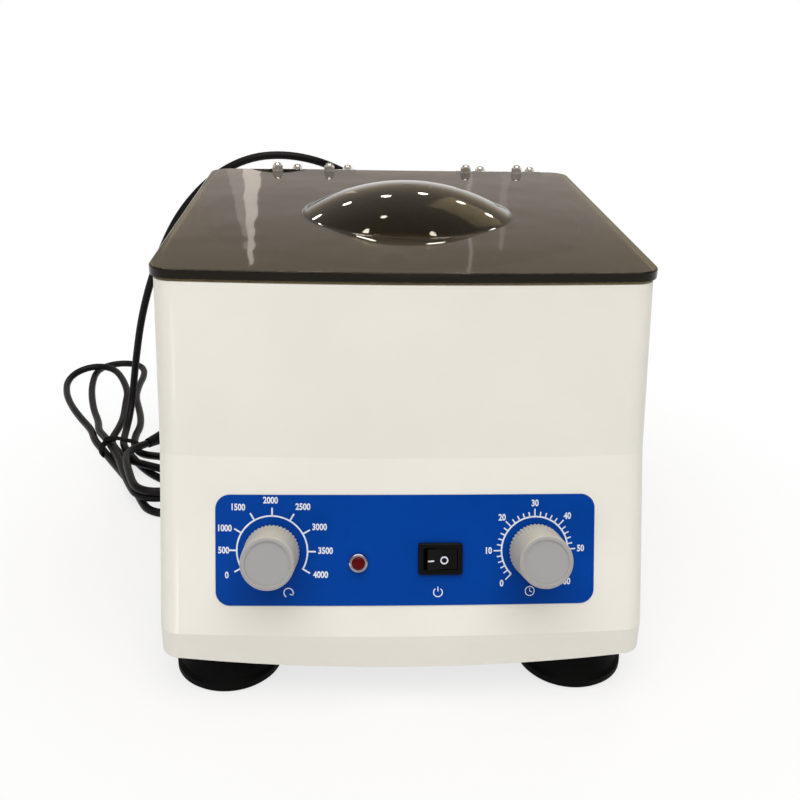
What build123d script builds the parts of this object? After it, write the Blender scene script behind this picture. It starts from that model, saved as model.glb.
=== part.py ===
"""Bench centrifuge for butterfat tubes: housing, bowl, motor, angle rotor, hinged lid, controls and mains lead.

Millimetres. +X is the user's right, +Y is the back, +Z is up. The origin is on the table, in the middle of the
machine without its mains lead.
"""

import os
from math import atan2, cos, pi, radians, sin, sqrt, tan

from build123d import *

os.makedirs("parts", exist_ok=True)

# ---------------------------------------------------------------- driving dimensions
# Housing
chamber_radius = 112.0  # the drum inside, which sets how wide and deep the housing is
chamber_side = 17.0  # from the drum out to the housing's side
chamber_front = 18.0  # from the drum forward to the lid's front edge, at its ends
chamber_back = 24.0  # from the drum back to the lid's back edge
body_wall = 3.0
foot_height = 24.0
band_height = 17.5  # upright apron under the console, at its ends
console_height = 85.5
face_height = 88.0  # upper face, from the console to the lid
face_tilt = 11.5
console_tilt = 21.0
front_bow = 5.0  # how far the middle of the front stands ahead of its corners
apron_drop = 4.1  # how far the apron's lower edge sags in the middle
apron_lap = 2.0  # how far the console's slope runs on past the apron's nominal top
corner_radius = 12.0
inner_corner_radius = 7.0
ledge_depth = 21.0  # housing top behind the lid

# Lid
lid_lap = 2.0  # how far the lid reaches past the housing's sides
lid_thickness = 5.0
lid_corner_radius = 13.0
lid_edge_round = 0.8
dome_x = 6.4
dome_lead = 0.8  # dome's middle ahead of the drum's
dome_radius = 64.0
dome_height = 17.4
dome_wall = 3.0
dome_root = 5.0

# Hinges
hinge_centre_x = 12.15  # middle of the pair
hinge_spread = 139.1
hinge_length = 64.0
leaf_thickness = 1.5
leaf_reach = 16.0
knuckle_radius = 3.0
leaf_gap = 0.4  # between a leaf and the other's knuckles
knuckle_gap = 0.3
pin_radius = 1.2
hinge_setback = 3.5  # from the lid's back edge to the pin
leaf_hole_pitch = 38.0
leaf_hole_stagger = 6.7
lid_bolt_setback = 9.5  # from the pin
ledge_bolt_setback = 11.5
small_bolt_radius = 1.7
small_bolt_head_radius = 3.2
small_bolt_head_height = 1.2
ledge_bolt_head_radius = 2.9
ledge_bolt_head_height = 2.0
small_nut_across = 6.5
small_nut_height = 3.2
small_nut_dome = 2.0
small_nut_step = 0.4  # flat left round the dome
washer_radius = 4.0
washer_thickness = 0.6

# Chamber
bowl_wall = 1.0
bowl_motor_gap = 10.0  # from the motor's nose up to the bowl's floor
bowl_floor_round = 10.0
bowl_flange = 9.0
bowl_screw_count = 6
bowl_screw_radius = 1.5
bowl_screw_head_radius = 2.8
bowl_screw_head_height = 1.3
bowl_screw_sink = 0.1  # head below the shell's top
bowl_screw_spare = 4.0
bowl_nut_height = 2.4
seal_width = 7.0
seal_gap = 0.2
boot_hole_radius = 16.0
boot_lip = 4.0
boot_lip_thickness = 1.5

# Rotor
tube_count = 6
tube_tilt = 45.0
pocket_rim_radius = 41.0  # from the spindle to the middle of a pocket's rim
pocket_rim_height = 71.0  # above the bowl's floor
sleeve_length = 78.0
sleeve_bore_radius = 10.5
sleeve_wall = 1.2
sleeve_flange = 1.9
sleeve_flange_thickness = 2.0
sleeve_floor = 2.0
cushion_thickness = 4.0
cushion_ledge = 0.8  # how much narrower its recess is than the bore
head_plate = 4.0
seat_depth = 0.8
head_rim_radius = 60.0
hub_radius = 14.0
star_radius = 84.0
star_plate = 3.0
star_height = 29.0  # above the bowl's floor
hub_foot_height = 12.0
hub_top_height = 60.0
rotor_nut_across = 17.0
rotor_nut_height = 12.0

# Motor
shaft_radius = 4.0
motor_radius = 41.0
motor_wall = 2.0
bell_plate = 4.0
bell_boss_radius = 14.0
bell_boss_height = 6.0
bearing_radius = 11.0
bearing_width = 7.0
armature_radius = 26.0
armature_length = 18.0
armature_end_gap = 1.5
winding_radius = 20.0
winding_length = 4.0
commutator_radius = 12.0
commutator_length = 6.0
air_gap = 1.0
magnet_gap = 28.0  # between the two magnets
motor_plate_size = 104.0
motor_plate_thickness = 3.0
damper_radius = 9.0
damper_height = 9.5
damper_spread = 82.0
damper_screw_radius = 2.5
damper_screw_head = 2.5  # its height
damper_screw_spare = 3.0  # how far it comes through

# Base and feet
base_plate_thickness = 1.5
base_clearance = 0.5
boss_size = 15.0
boss_height = 16.0
base_screw_radius = 2.0
base_screw_head = 2.0  # its height
boss_floor = 4.0  # left solid above a screw
foot_radius = 29.0
foot_edge = 1.5  # chamfer round its tread
foot_lip = 2.0  # step of its rim
foot_top_radius = 22.0
foot_rim_height = 7.0
foot_recess_radius = 20.0
foot_recess_depth = 3.0
foot_side = 33.0  # from the housing's side to a foot's middle
front_foot_setback = 28.6  # from the apron's corners to the foot's middle
rear_foot_setback = 37.0  # from the rear wall
foot_screw_radius = 2.5
foot_screw_spare = 5.0
foot_screw_head_radius = 5.0
foot_screw_head_height = 3.0

# Controls, on the console's slope
label_side = 29.5  # from the housing's side to the label's end
label_height = 58.2
label_thickness = 0.4
label_glue = 0.05  # adhesive that fills the back of that thickness
label_corner_radius = 7.5
label_x = 1.0
label_v = -2.2
knob_side = 60.0  # from the housing's side to a knob's middle
control_v = -3.2
knob_gap = 3.0
knob_height = 29.0
knob_base_radius = 14.4
knob_cap_radius = 13.4
knob_cap_rim = 2.2  # rim round the cap's recess
knob_cap_round = 1.2
knob_cap_height = 3.5
knob_flutes = 44
knob_flute_radius = 0.75
knob_cap_recess = 0.6
knob_recess_radius = 8.5
knob_recess_depth = 5.0
stem_radius = 3.0
stem_engagement = 16.0
bushing_radius = 3.6
control_nut_across = 11.0
control_nut_height = 2.0
bushing_spare = 0.3  # thread that shows past its nut
stem_tail = 6.0  # length of stem inside the control behind the panel
pot_radius = 8.5
pot_depth = 9.0
pot_terminal_width = 11.0
pot_terminal_reach = 13.0
timer_size = 36.0
timer_depth = 24.0
lamp_x = -24.2
lamp_v = -8.6
lamp_bezel_radius = 5.0
lamp_bezel_round = 0.8
lamp_lens_depth = 3.0  # lens below the bezel's foot
lamp_barrel_floor = 3.0
lamp_nut_height = 2.5
lamp_bezel_height = 2.2
lamp_barrel_radius = 4.0
lamp_barrel_length = 14.0
lamp_lens_radius = 3.5
lamp_lens_height = 1.4
switch_x = 18.6
switch_v = -6.6
switch_bezel_width = 23.2
switch_bezel_height = 16.8
switch_bezel_thickness = 2.0
switch_body_width = 19.2
switch_body_height = 13.2
switch_body_depth = 20.0
switch_corner_radius = 1.5
rocker_well_width = 17.8
rocker_well_height = 11.4
rocker_clearance = 0.3
rocker_throw = 20.0
rocker_crest = 1.4  # how far its middle stands above the bezel's foot
rocker_root = 5.0
rocker_pin_radius = 0.8
rocker_pin_drop = 2.0
rocker_draft = 0.3

# Rear panel
gland_x = 40.0
gland_drop = 68.5  # below the housing's top
gland_reach = 20.0
gland_flange_radius = 8.5
gland_flange_thickness = 2.0
gland_barrel_radius = 6.8
gland_root_radius = 6.0
gland_tip_radius = 4.2
gland_nut_thickness = 3.0
fuse_x = 72.0
fuse_flange_radius = 8.5
fuse_flange_thickness = 2.5
fuse_cap_radius = 6.3
fuse_cap_height = 8.0
fuse_barrel_length = 25.0
fuse_slot_length = 9.0
fuse_slot_width = 1.6
fuse_slot_depth = 1.5
fuse_cap_chamfer = 0.8
vent_count = 9
vent_pitch = 8.0
vent_width = 3.0
vent_height = 38.0
vent_x = 78.0
vent_z = 82.0

# Control board
board_width = 62.0
board_depth = 74.0
board_thickness = 1.6
board_side_gap = 17.0  # from the left wall's inner face to the board
board_gap = 5.0  # behind the bend of the console
standoff_radius = 3.0
standoff_height = 8.0
standoff_inset = 5.0
capacitor_radius = 6.5
capacitor_height = 18.0
relay_width = 19.0
relay_depth = 15.0
relay_height = 13.0
terminal_width = 40.0
terminal_depth = 9.0
terminal_height = 11.0
sink_width = 26.0
sink_height = 24.0
sink_back = 3.0
sink_fin = 2.0
sink_fin_depth = 10.0
sink_fin_count = 5

# Mains lead
cord_diameter = 6.0
plug_length = 30.0
plug_relief_length = 24.0
plug_relief_radius = 3.8
plug_width = 32.0
plug_thickness = 20.0
plug_edge_round = 4.0
blade_length = 17.0
blade_width = 6.3
blade_thickness = 1.6
blade_pitch = 12.7
ground_pin_radius = 2.4
ground_pin_drop = 6.0
ground_pin_length = 20.0
hank_height = 14.0
hank_corner_radius = 6.0
tie_width = 9.0
tie_thickness = 1.0

# Clearances
running_gap = 0.05
hole_gap = 0.2
seat_gap = 0.2
foot_gap = 2.0

# ---------------------------------------------------------------- places worked out from them
half_width = chamber_radius + chamber_side
foot_x = half_width - foot_side
body_width = 2 * half_width
label_width = body_width - 2 * label_side
knob_x = half_width - knob_side
lid_width = body_width + 2 * lid_lap
lid_depth = chamber_front + 2 * chamber_radius + chamber_back
shell_bottom = foot_height
console_bottom = shell_bottom + band_height
crease_z = console_bottom + console_height
shell_top = crease_z + face_height
lid_bottom = shell_top + leaf_thickness
lid_top = lid_bottom + lid_thickness

console_slope = radians(console_tilt)
face_slope = radians(face_tilt)
knob_cap_n = knob_gap + knob_height
face_run = face_height * tan(face_slope)
console_run = console_height * tan(console_slope)
bow_radius = (half_width**2 + front_bow**2) / (2 * front_bow)
console_bow_radius = bow_radius + console_run / 2
knob_bow = console_bow_radius - sqrt(console_bow_radius**2 - knob_x**2)
reach_ahead = (
    front_bow
    + face_run
    + console_run / 2
    - control_v * sin(console_slope)
    - knob_bow
    + knob_cap_n * cos(console_slope)
    + knob_cap_radius * sin(console_slope)
)
reach_behind = lid_depth + ledge_depth + gland_reach
lid_front_y = (reach_ahead - reach_behind) / 2
lid_back_y = lid_front_y + lid_depth
rear_wall_y = lid_back_y + ledge_depth

face_top_y = lid_front_y - front_bow
crease_y = face_top_y - face_run
console_bottom_y = crease_y - console_run
apron_top = console_bottom - apron_lap
apron_y = console_bottom_y - apron_lap * tan(console_slope)
bow_centre_y = crease_y + bow_radius
apron_corner_y = bow_centre_y - sqrt((bow_centre_y - apron_y) ** 2 - half_width**2)

hinge_y = lid_back_y + hinge_setback
hinge_z = shell_top + knuckle_radius
hinge_xs = [hinge_centre_x - hinge_spread / 2, hinge_centre_x + hinge_spread / 2]
lid_bolt_y = hinge_y - lid_bolt_setback
ledge_bolt_y = hinge_y + ledge_bolt_setback
lid_bolt_xs = [x - leaf_hole_stagger + s * leaf_hole_pitch / 2 for x in hinge_xs for s in (-1, 1)]
ledge_bolt_xs = [x + leaf_hole_stagger + s * leaf_hole_pitch / 2 for x in hinge_xs for s in (-1, 1)]

chamber_y = lid_front_y + chamber_front + chamber_radius
bowl_top = shell_top - body_wall
bowl_screw_circle = chamber_radius + bowl_flange / 2 + bowl_wall / 2

base_top = shell_bottom + base_plate_thickness
motor_plate_bottom = base_top + damper_height
motor_bottom = motor_plate_bottom + motor_plate_thickness
armature_bottom = motor_bottom + bearing_width + armature_end_gap + winding_length
armature_top = armature_bottom + armature_length
commutator_bottom = armature_top + winding_length
commutator_top = commutator_bottom + commutator_length
motor_top = commutator_top + armature_end_gap + bell_plate
bowl_floor = motor_top + bell_boss_height + bowl_motor_gap
pocket_rim_z = bowl_floor + pocket_rim_height
hub_bottom = bowl_floor + hub_foot_height
hub_top = bowl_floor + hub_top_height
tube_slope = radians(tube_tilt)

front_foot_y = apron_corner_y + front_foot_setback
rear_foot_y = rear_wall_y - rear_foot_setback
foot_places = [(x, y) for x in (-foot_x, foot_x) for y in (front_foot_y, rear_foot_y)]
front_boss_y = front_foot_y + foot_radius + foot_gap + boss_size / 2
rear_boss_y = rear_foot_y - foot_radius - foot_gap - boss_size / 2
boss_x = half_width - body_wall - boss_size / 2
boss_places = [(x, y) for x in (-boss_x, boss_x) for y in (front_boss_y, rear_boss_y)]

gland_z = shell_top - gland_drop
sleeve_outer_radius = sleeve_bore_radius + sleeve_wall

# The console's middle line, half way up the slope
console_mid_y = crease_y - console_run / 2
console_mid_z = crease_z - console_height / 2


def console_plane(x, v, n=0.0):
    """A plane facing out of the console at x across and v up the slope, n in front of its surface."""
    bow = console_bow_radius - sqrt(console_bow_radius**2 - x**2)
    y = console_mid_y + v * sin(console_slope) + bow - n * cos(console_slope)
    z = console_mid_z + v * cos(console_slope) + n * sin(console_slope)
    return Plane(origin=(x, y, z), x_dir=(1, 0, 0), z_dir=(0, -cos(console_slope), sin(console_slope)))


def bow_gap(x, half):
    """How far something of that half width stands off, because the bowed panel turns away under it."""
    return seat_gap + (half * abs(x) + half**2 / 2) / console_bow_radius


def front_profile(inset, low_z, high_z):
    """The front's outline seen from the side, drawn in by inset, as points (y, z) from the bottom up."""
    normals = [(-1.0, 0.0)]
    for slope in (console_slope, face_slope):
        normals.append((-cos(slope), sin(slope)))
    points = [(apron_y + inset, low_z)]
    for corner, below, above in (
        ((apron_y, apron_top), normals[0], normals[1]),
        ((crease_y, crease_z), normals[1], normals[2]),
    ):
        step = inset / (1 + below[0] * above[0] + below[1] * above[1])
        points.append((corner[0] - step * (below[0] + above[0]), corner[1] - step * (below[1] + above[1])))
    rise = high_z - shell_top + inset * sin(face_slope)
    points.append((face_top_y + inset * cos(face_slope) + rise * tan(face_slope), high_z))
    return points


def bowed_outline(front_y, inset, radius):
    """A level outline of the housing, with its front bowed about the one far axis and its corners rounded."""
    side_x = half_width - inset
    corner_y = bow_centre_y - sqrt((bow_centre_y - front_y) ** 2 - side_x**2)
    with BuildSketch() as outline:
        with BuildLine():
            ThreePointArc((-side_x, corner_y), (0, front_y), (side_x, corner_y))
            Polyline(
                (side_x, corner_y),
                (side_x, rear_wall_y - inset),
                (-side_x, rear_wall_y - inset),
                (-side_x, corner_y),
            )
        make_face()
        fillet(outline.vertices(), radius=radius)
    return outline.sketch


def body_form(inset, radius, low_z, high_z):
    """The housing's solid form, drawn in by inset: straight rulings between four level outlines."""
    with BuildPart() as form:
        for y, z in front_profile(inset, low_z, high_z):
            with BuildSketch(Plane.XY.offset(z)):
                add(bowed_outline(y, inset, radius))
        loft(ruled=True)
    return form.part


def console_openings(depth):
    """Straight cutters for everything that passes through the console."""
    with BuildPart() as cutters:
        for x in (-knob_x, knob_x):
            with BuildSketch(console_plane(x, control_v, body_wall)):
                Circle(bushing_radius + hole_gap)
            extrude(amount=-depth)
        with BuildSketch(console_plane(lamp_x, lamp_v, body_wall)):
            Circle(lamp_barrel_radius + hole_gap)
        extrude(amount=-depth)
        with BuildSketch(console_plane(switch_x, switch_v, body_wall)):
            Rectangle(switch_body_width + 2 * hole_gap, switch_body_height + 2 * hole_gap)
        extrude(amount=-depth)
    return cutters.part


def screw(plane, radius, length, head_radius, head_height, sunk=False):
    """A screw whose head stands on the plane and whose shank runs behind it, or a sunk head behind it."""
    with BuildPart() as body:
        with BuildSketch(plane):
            Circle(radius)
        extrude(amount=-length)
        with BuildSketch(plane):
            Circle(head_radius)
        if sunk:
            with BuildSketch(plane.offset(-head_height)):
                Circle(radius)
            loft()
        else:
            extrude(amount=head_height)
            fillet(body.faces().sort_by(Axis(plane.origin, plane.z_dir))[-1].edges(), radius=head_height * 0.3)
    return body.part


def cap_nut(plane):
    """A domed hexagon nut standing on the plane, bored for a small bolt, with its dome on top."""
    with BuildPart() as body:
        with BuildSketch(plane):
            RegularPolygon(radius=small_nut_across / 2, side_count=6, major_radius=False)
        extrude(amount=small_nut_height)
        with BuildSketch(plane.offset(small_nut_height)):
            Circle(small_nut_across / 2 - small_nut_step)
        extrude(amount=small_nut_dome)
        crown = body.faces().sort_by(Axis(plane.origin, plane.z_dir))[-1]
        fillet(crown.edges(), radius=small_nut_dome * 0.9)
        with BuildSketch(plane):
            Circle(small_bolt_radius)
        extrude(amount=small_nut_height, mode=Mode.SUBTRACT)
    return body.part


def washer(plane):
    """A plain washer lying on the plane."""
    with BuildPart() as body:
        with BuildSketch(plane):
            Circle(washer_radius)
            Circle(small_bolt_radius, mode=Mode.SUBTRACT)
        extrude(amount=washer_thickness)
    return body.part


def save(part, label):
    """Label a finished piece and write it as its own STEP file."""
    part.label = label
    export_step(part, f"parts/{label}.step")


# ---------------------------------------------------------------- housing
shell_low = shell_bottom - apron_drop
with BuildPart() as housing_shell:
    add(body_form(0, corner_radius, shell_low, shell_top))
    add(body_form(body_wall, inner_corner_radius, shell_low - 1, bowl_top), mode=Mode.SUBTRACT)
    # bosses for the base screws, joined to the side walls
    with BuildSketch(Plane.XY.offset(base_top)):
        with Locations(*boss_places):
            Rectangle(boss_size + 1, boss_size)
    extrude(amount=boss_height)
    with BuildSketch(Plane.XY.offset(base_top)):
        with Locations(*boss_places):
            Circle(base_screw_radius)
    extrude(amount=boss_height - 2, mode=Mode.SUBTRACT)
    # the lower edge is level along the sides and back, and sags under the apron
    apron_end_x = half_width - corner_radius
    apron_back_y = apron_corner_y + 2 * corner_radius
    with BuildSketch(Plane.XZ.offset(-apron_back_y)):
        with BuildLine():
            ThreePointArc((-apron_end_x, shell_bottom), (0, shell_low), (apron_end_x, shell_bottom))
            Polyline(
                (apron_end_x, shell_bottom),
                (half_width + 1, shell_bottom),
                (half_width + 1, shell_low - 2),
                (-half_width - 1, shell_low - 2),
                (-half_width - 1, shell_bottom),
                (-apron_end_x, shell_bottom),
            )
        make_face()
    extrude(amount=apron_back_y - apron_y + 1, mode=Mode.SUBTRACT)
    with BuildSketch(Plane.XY.offset(shell_low - 2)):
        with Locations((0, (rear_wall_y + 1 + apron_back_y) / 2)):
            Rectangle(body_width + 2, rear_wall_y + 1 - apron_back_y)
    extrude(amount=shell_bottom - shell_low + 2, mode=Mode.SUBTRACT)
    # round mouth over the bowl, and the screws round it
    with BuildSketch(Plane.XY.offset(bowl_top)):
        with Locations((0, chamber_y)):
            Circle(chamber_radius)
    extrude(amount=body_wall, mode=Mode.SUBTRACT)
    with Locations(Location((0, chamber_y, shell_top))):
        with PolarLocations(bowl_screw_circle, bowl_screw_count, start_angle=30):
            CounterSinkHole(bowl_screw_radius + hole_gap, bowl_screw_head_radius, depth=body_wall)
    # hinge bolts through the rear ledge
    with Locations(*[(x, ledge_bolt_y, shell_top) for x in ledge_bolt_xs]):
        Hole(small_bolt_radius + hole_gap, depth=body_wall)
    add(console_openings(3 * body_wall), mode=Mode.SUBTRACT)
    # rear panel: lead, fuse and two rows of vents
    rear_plane = Plane(origin=(0, rear_wall_y, 0), x_dir=(-1, 0, 0), z_dir=(0, 1, 0))
    with BuildSketch(rear_plane):
        with Locations((-gland_x, gland_z)):
            Circle(gland_barrel_radius + hole_gap)
        with Locations((-fuse_x, gland_z)):
            Circle(fuse_cap_radius + hole_gap)
        for side_x in (-vent_x, vent_x):
            with Locations((side_x, vent_z)):
                with GridLocations(vent_pitch, 0, vent_count, 1):
                    SlotOverall(vent_height, vent_width, rotation=90)
    extrude(amount=-body_wall - 1, mode=Mode.SUBTRACT)
save(housing_shell.part, "housing_shell")

with BuildPart() as base_plate:
    plate_inset = body_wall + base_clearance
    with BuildSketch(Plane.XY.offset(shell_bottom)):
        add(bowed_outline(apron_y + plate_inset, plate_inset, inner_corner_radius))
    extrude(amount=base_plate_thickness)
    with Locations(*[(x, y, base_top) for x, y in boss_places]):
        Hole(base_screw_radius + hole_gap, depth=base_plate_thickness)
    with Locations(*[(x, y, base_top) for x, y in foot_places]):
        Hole(foot_screw_radius + hole_gap, depth=base_plate_thickness)
    with Locations(Location((0, chamber_y, base_top))):
        with GridLocations(damper_spread, damper_spread, 2, 2):
            Hole(damper_screw_radius + hole_gap, depth=base_plate_thickness)
    with BuildSketch(Plane.XY.offset(shell_bottom)):
        with Locations((0, chamber_y)):
            with GridLocations(0, vent_pitch * 1.5, 1, 5):
                SlotOverall(vent_height * 1.3, vent_width * 1.3)
    extrude(amount=base_plate_thickness, mode=Mode.SUBTRACT)
save(base_plate.part, "base_plate")

with BuildPart() as base_screws:
    for x, y in boss_places:
        plane = Plane(origin=(x, y, shell_bottom), x_dir=(1, 0, 0), z_dir=(0, 0, -1))
        add(screw(plane, base_screw_radius, boss_height - boss_floor, base_screw_radius * 2, base_screw_head))
save(base_screws.part, "base_screws")

with BuildPart() as rubber_feet:
    for x, y in foot_places:
        with BuildSketch(Plane(origin=(x, y, 0), x_dir=(1, 0, 0), z_dir=(0, -1, 0))):
            with BuildLine():
                Polyline(
                    (foot_recess_radius, 0),
                    (foot_radius - foot_edge, 0),
                    (foot_radius, foot_edge),
                    (foot_radius, foot_rim_height - foot_lip),
                    (foot_radius - foot_lip, foot_rim_height),
                    (foot_top_radius, foot_height - foot_lip),
                    (foot_top_radius, foot_height),
                    (foot_screw_radius + hole_gap, foot_height),
                    (foot_screw_radius + hole_gap, foot_height / 2),
                    (foot_screw_head_radius + 1, foot_height / 2),
                    (foot_screw_head_radius + 1, foot_recess_depth),
                    (foot_recess_radius - 2, foot_recess_depth),
                    close=True,
                )
            make_face()
        revolve(axis=Axis((x, y, 0), (0, 0, 1)))
save(rubber_feet.part, "rubber_feet")

with BuildPart() as foot_screws:
    for x, y in foot_places:
        plane = Plane(origin=(x, y, foot_height / 2), x_dir=(1, 0, 0), z_dir=(0, 0, -1))
        length = base_top - foot_height / 2 + foot_screw_spare
        add(screw(plane, foot_screw_radius, length, foot_screw_head_radius, foot_screw_head_height))
save(foot_screws.part, "foot_screws")

with BuildPart() as foot_nuts:
    with BuildSketch(Plane.XY.offset(base_top)):
        with Locations(*foot_places):
            RegularPolygon(radius=foot_screw_radius * 1.6, side_count=6, major_radius=False)
            Circle(foot_screw_radius, mode=Mode.SUBTRACT)
    extrude(amount=foot_screw_radius * 1.6)
save(foot_nuts.part, "foot_nuts")

# ---------------------------------------------------------------- chamber
with BuildPart() as chamber_bowl:
    outer_radius = chamber_radius + bowl_wall
    flange_radius = chamber_radius + bowl_wall + bowl_flange
    with BuildSketch(Plane(origin=(0, chamber_y, 0), x_dir=(1, 0, 0), z_dir=(0, -1, 0))):
        with BuildLine():
            Polyline(
                (boot_hole_radius, bowl_floor),
                (chamber_radius, bowl_floor),
                (chamber_radius, bowl_top),
                (flange_radius, bowl_top),
                (flange_radius, bowl_top - bowl_wall),
                (outer_radius, bowl_top - bowl_wall),
                (outer_radius, bowl_floor - bowl_wall),
                (boot_hole_radius, bowl_floor - bowl_wall),
                close=True,
            )
        section = make_face()
        inner_turn = section.vertices().sort_by_distance((chamber_radius, bowl_floor, 0))[0]
        outer_turn = section.vertices().sort_by_distance((outer_radius, bowl_floor - bowl_wall, 0))[0]
        fillet(inner_turn, radius=bowl_floor_round)
        fillet(outer_turn, radius=bowl_floor_round + bowl_wall)
    revolve(axis=Axis((0, chamber_y, 0), (0, 0, 1)))
    with Locations(Location((0, chamber_y, bowl_top))):
        with PolarLocations(bowl_screw_circle, bowl_screw_count, start_angle=30):
            Hole(bowl_screw_radius + hole_gap, depth=bowl_wall)
save(chamber_bowl.part, "chamber_bowl")

bowl_screw_tops = [
    (bowl_screw_circle * cos(radians(30 + 360 / bowl_screw_count * i)),
     chamber_y + bowl_screw_circle * sin(radians(30 + 360 / bowl_screw_count * i)))
    for i in range(bowl_screw_count)
]
with BuildPart() as bowl_screws:
    for x, y in bowl_screw_tops:
        plane = Plane(origin=(x, y, shell_top - bowl_screw_sink), x_dir=(1, 0, 0), z_dir=(0, 0, 1))
        length = body_wall + bowl_wall + bowl_screw_spare
        head_radius = bowl_screw_head_radius - hole_gap
        add(screw(plane, bowl_screw_radius, length, head_radius, bowl_screw_head_height, sunk=True))
save(bowl_screws.part, "bowl_screws")

with BuildPart() as bowl_nuts:
    with BuildSketch(Plane.XY.offset(bowl_top - bowl_wall)):
        with Locations(*bowl_screw_tops):
            RegularPolygon(radius=bowl_screw_radius * 1.75, side_count=6, major_radius=False)
            Circle(bowl_screw_radius, mode=Mode.SUBTRACT)
    extrude(amount=-bowl_nut_height)
save(bowl_nuts.part, "bowl_nuts")

with BuildPart() as lid_seal:
    with BuildSketch(Plane.XY.offset(shell_top)):
        with Locations((0, chamber_y)):
            Circle(bowl_screw_circle + seal_width / 2)
            Circle(bowl_screw_circle - seal_width / 2, mode=Mode.SUBTRACT)
    extrude(amount=leaf_thickness - seal_gap)
save(lid_seal.part, "lid_seal")

with BuildPart() as shaft_boot:
    boot_inner = shaft_radius + 2
    with BuildSketch(Plane(origin=(0, chamber_y, 0), x_dir=(1, 0, 0), z_dir=(0, -1, 0))):
        with BuildLine():
            Polyline(
                (boot_inner, bowl_floor - bowl_wall - boot_lip_thickness),
                (boot_hole_radius + boot_lip, bowl_floor - bowl_wall - boot_lip_thickness),
                (boot_hole_radius + boot_lip, bowl_floor - bowl_wall),
                (boot_hole_radius, bowl_floor - bowl_wall),
                (boot_hole_radius, bowl_floor),
                (boot_hole_radius + boot_lip, bowl_floor),
                (boot_hole_radius + boot_lip - 1, bowl_floor + boot_lip_thickness),
                (boot_inner + 3, bowl_floor + boot_lip_thickness),
                (boot_inner, bowl_floor + 3 * boot_lip_thickness),
                close=True,
            )
        make_face()
    revolve(axis=Axis((0, chamber_y, 0), (0, 0, 1)))
save(shaft_boot.part, "shaft_boot")

# ---------------------------------------------------------------- motor
spindle = Axis((0, chamber_y, 0), (0, 0, 1))
section_plane = Plane(origin=(0, chamber_y, 0), x_dir=(1, 0, 0), z_dir=(0, -1, 0))
damper_places = [
    (x * damper_spread / 2, chamber_y + y * damper_spread / 2) for x in (-1, 1) for y in (-1, 1)
]

with BuildPart() as rubber_dampers:
    with BuildSketch(Plane.XY.offset(base_top)):
        with Locations(*damper_places):
            Circle(damper_radius)
            Circle(damper_screw_radius + hole_gap, mode=Mode.SUBTRACT)
    extrude(amount=damper_height)
save(rubber_dampers.part, "rubber_dampers")

with BuildPart() as motor_plate:
    with BuildSketch(Plane.XY.offset(motor_plate_bottom)):
        with Locations((0, chamber_y)):
            RectangleRounded(motor_plate_size, motor_plate_size, damper_radius)
        with Locations(*damper_places):
            Circle(damper_screw_radius + hole_gap, mode=Mode.SUBTRACT)
        with Locations((0, chamber_y)):
            Circle(bell_boss_radius + hole_gap, mode=Mode.SUBTRACT)
    extrude(amount=motor_plate_thickness)
save(motor_plate.part, "motor_plate")

with BuildPart() as damper_screws:
    for x, y in damper_places:
        plane = Plane(origin=(x, y, motor_bottom), x_dir=(1, 0, 0), z_dir=(0, 0, 1))
        length = motor_plate_thickness + damper_height + base_plate_thickness + damper_screw_spare
        add(screw(plane, damper_screw_radius, length, damper_screw_radius * 1.8, damper_screw_head))
save(damper_screws.part, "damper_screws")

with BuildPart() as motor_bells:
    with BuildSketch(section_plane):
        with BuildLine():
            Polyline(
                (shaft_radius + 1, motor_bottom - 2),
                (bell_boss_radius, motor_bottom - 2),
                (bell_boss_radius, motor_bottom),
                (motor_radius, motor_bottom),
                (motor_radius, motor_bottom + bell_plate),
                (bell_boss_radius, motor_bottom + bell_plate),
                (bell_boss_radius, motor_bottom + bearing_width),
                (bearing_radius, motor_bottom + bearing_width),
                (bearing_radius, motor_bottom),
                (shaft_radius + 1, motor_bottom),
                close=True,
            )
        make_face()
        with BuildLine():
            Polyline(
                (motor_radius, motor_top),
                (motor_radius, motor_top - bell_plate),
                (bell_boss_radius, motor_top - bell_plate),
                (bearing_radius, motor_top - bell_plate),
                (bearing_radius, motor_top - bell_plate + bearing_width),
                (shaft_radius + 1, motor_top - bell_plate + bearing_width),
                (shaft_radius + 1, motor_top + bell_boss_height),
                (bell_boss_radius - 1, motor_top + bell_boss_height),
                (bell_boss_radius, motor_top + bell_boss_height - 1),
                (bell_boss_radius, motor_top),
                close=True,
            )
        make_face()
    revolve(axis=spindle)
save(motor_bells.part, "motor_bells")

with BuildPart() as motor_can:
    with BuildSketch(Plane.XY.offset(motor_bottom + bell_plate)):
        with Locations((0, chamber_y)):
            Circle(motor_radius)
            Circle(motor_radius - motor_wall, mode=Mode.SUBTRACT)
    extrude(amount=motor_top - motor_bottom - 2 * bell_plate)
save(motor_can.part, "motor_can")

with BuildPart() as field_magnets:
    inner = armature_radius + air_gap
    with BuildSketch(Plane.XY.offset(armature_bottom)):
        with Locations((0, chamber_y)):
            Circle(motor_radius - motor_wall)
            Circle(inner, mode=Mode.SUBTRACT)
            Rectangle(magnet_gap, motor_radius * 2, mode=Mode.SUBTRACT)
    extrude(amount=armature_length)
save(field_magnets.part, "field_magnets")

with BuildPart() as motor_bearings:
    for low_z in (motor_bottom, motor_top - bell_plate):
        with BuildSketch(Plane.XY.offset(low_z)):
            with Locations((0, chamber_y)):
                Circle(bearing_radius)
                Circle(shaft_radius + running_gap, mode=Mode.SUBTRACT)
        extrude(amount=bearing_width)
save(motor_bearings.part, "motor_bearings")

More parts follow.
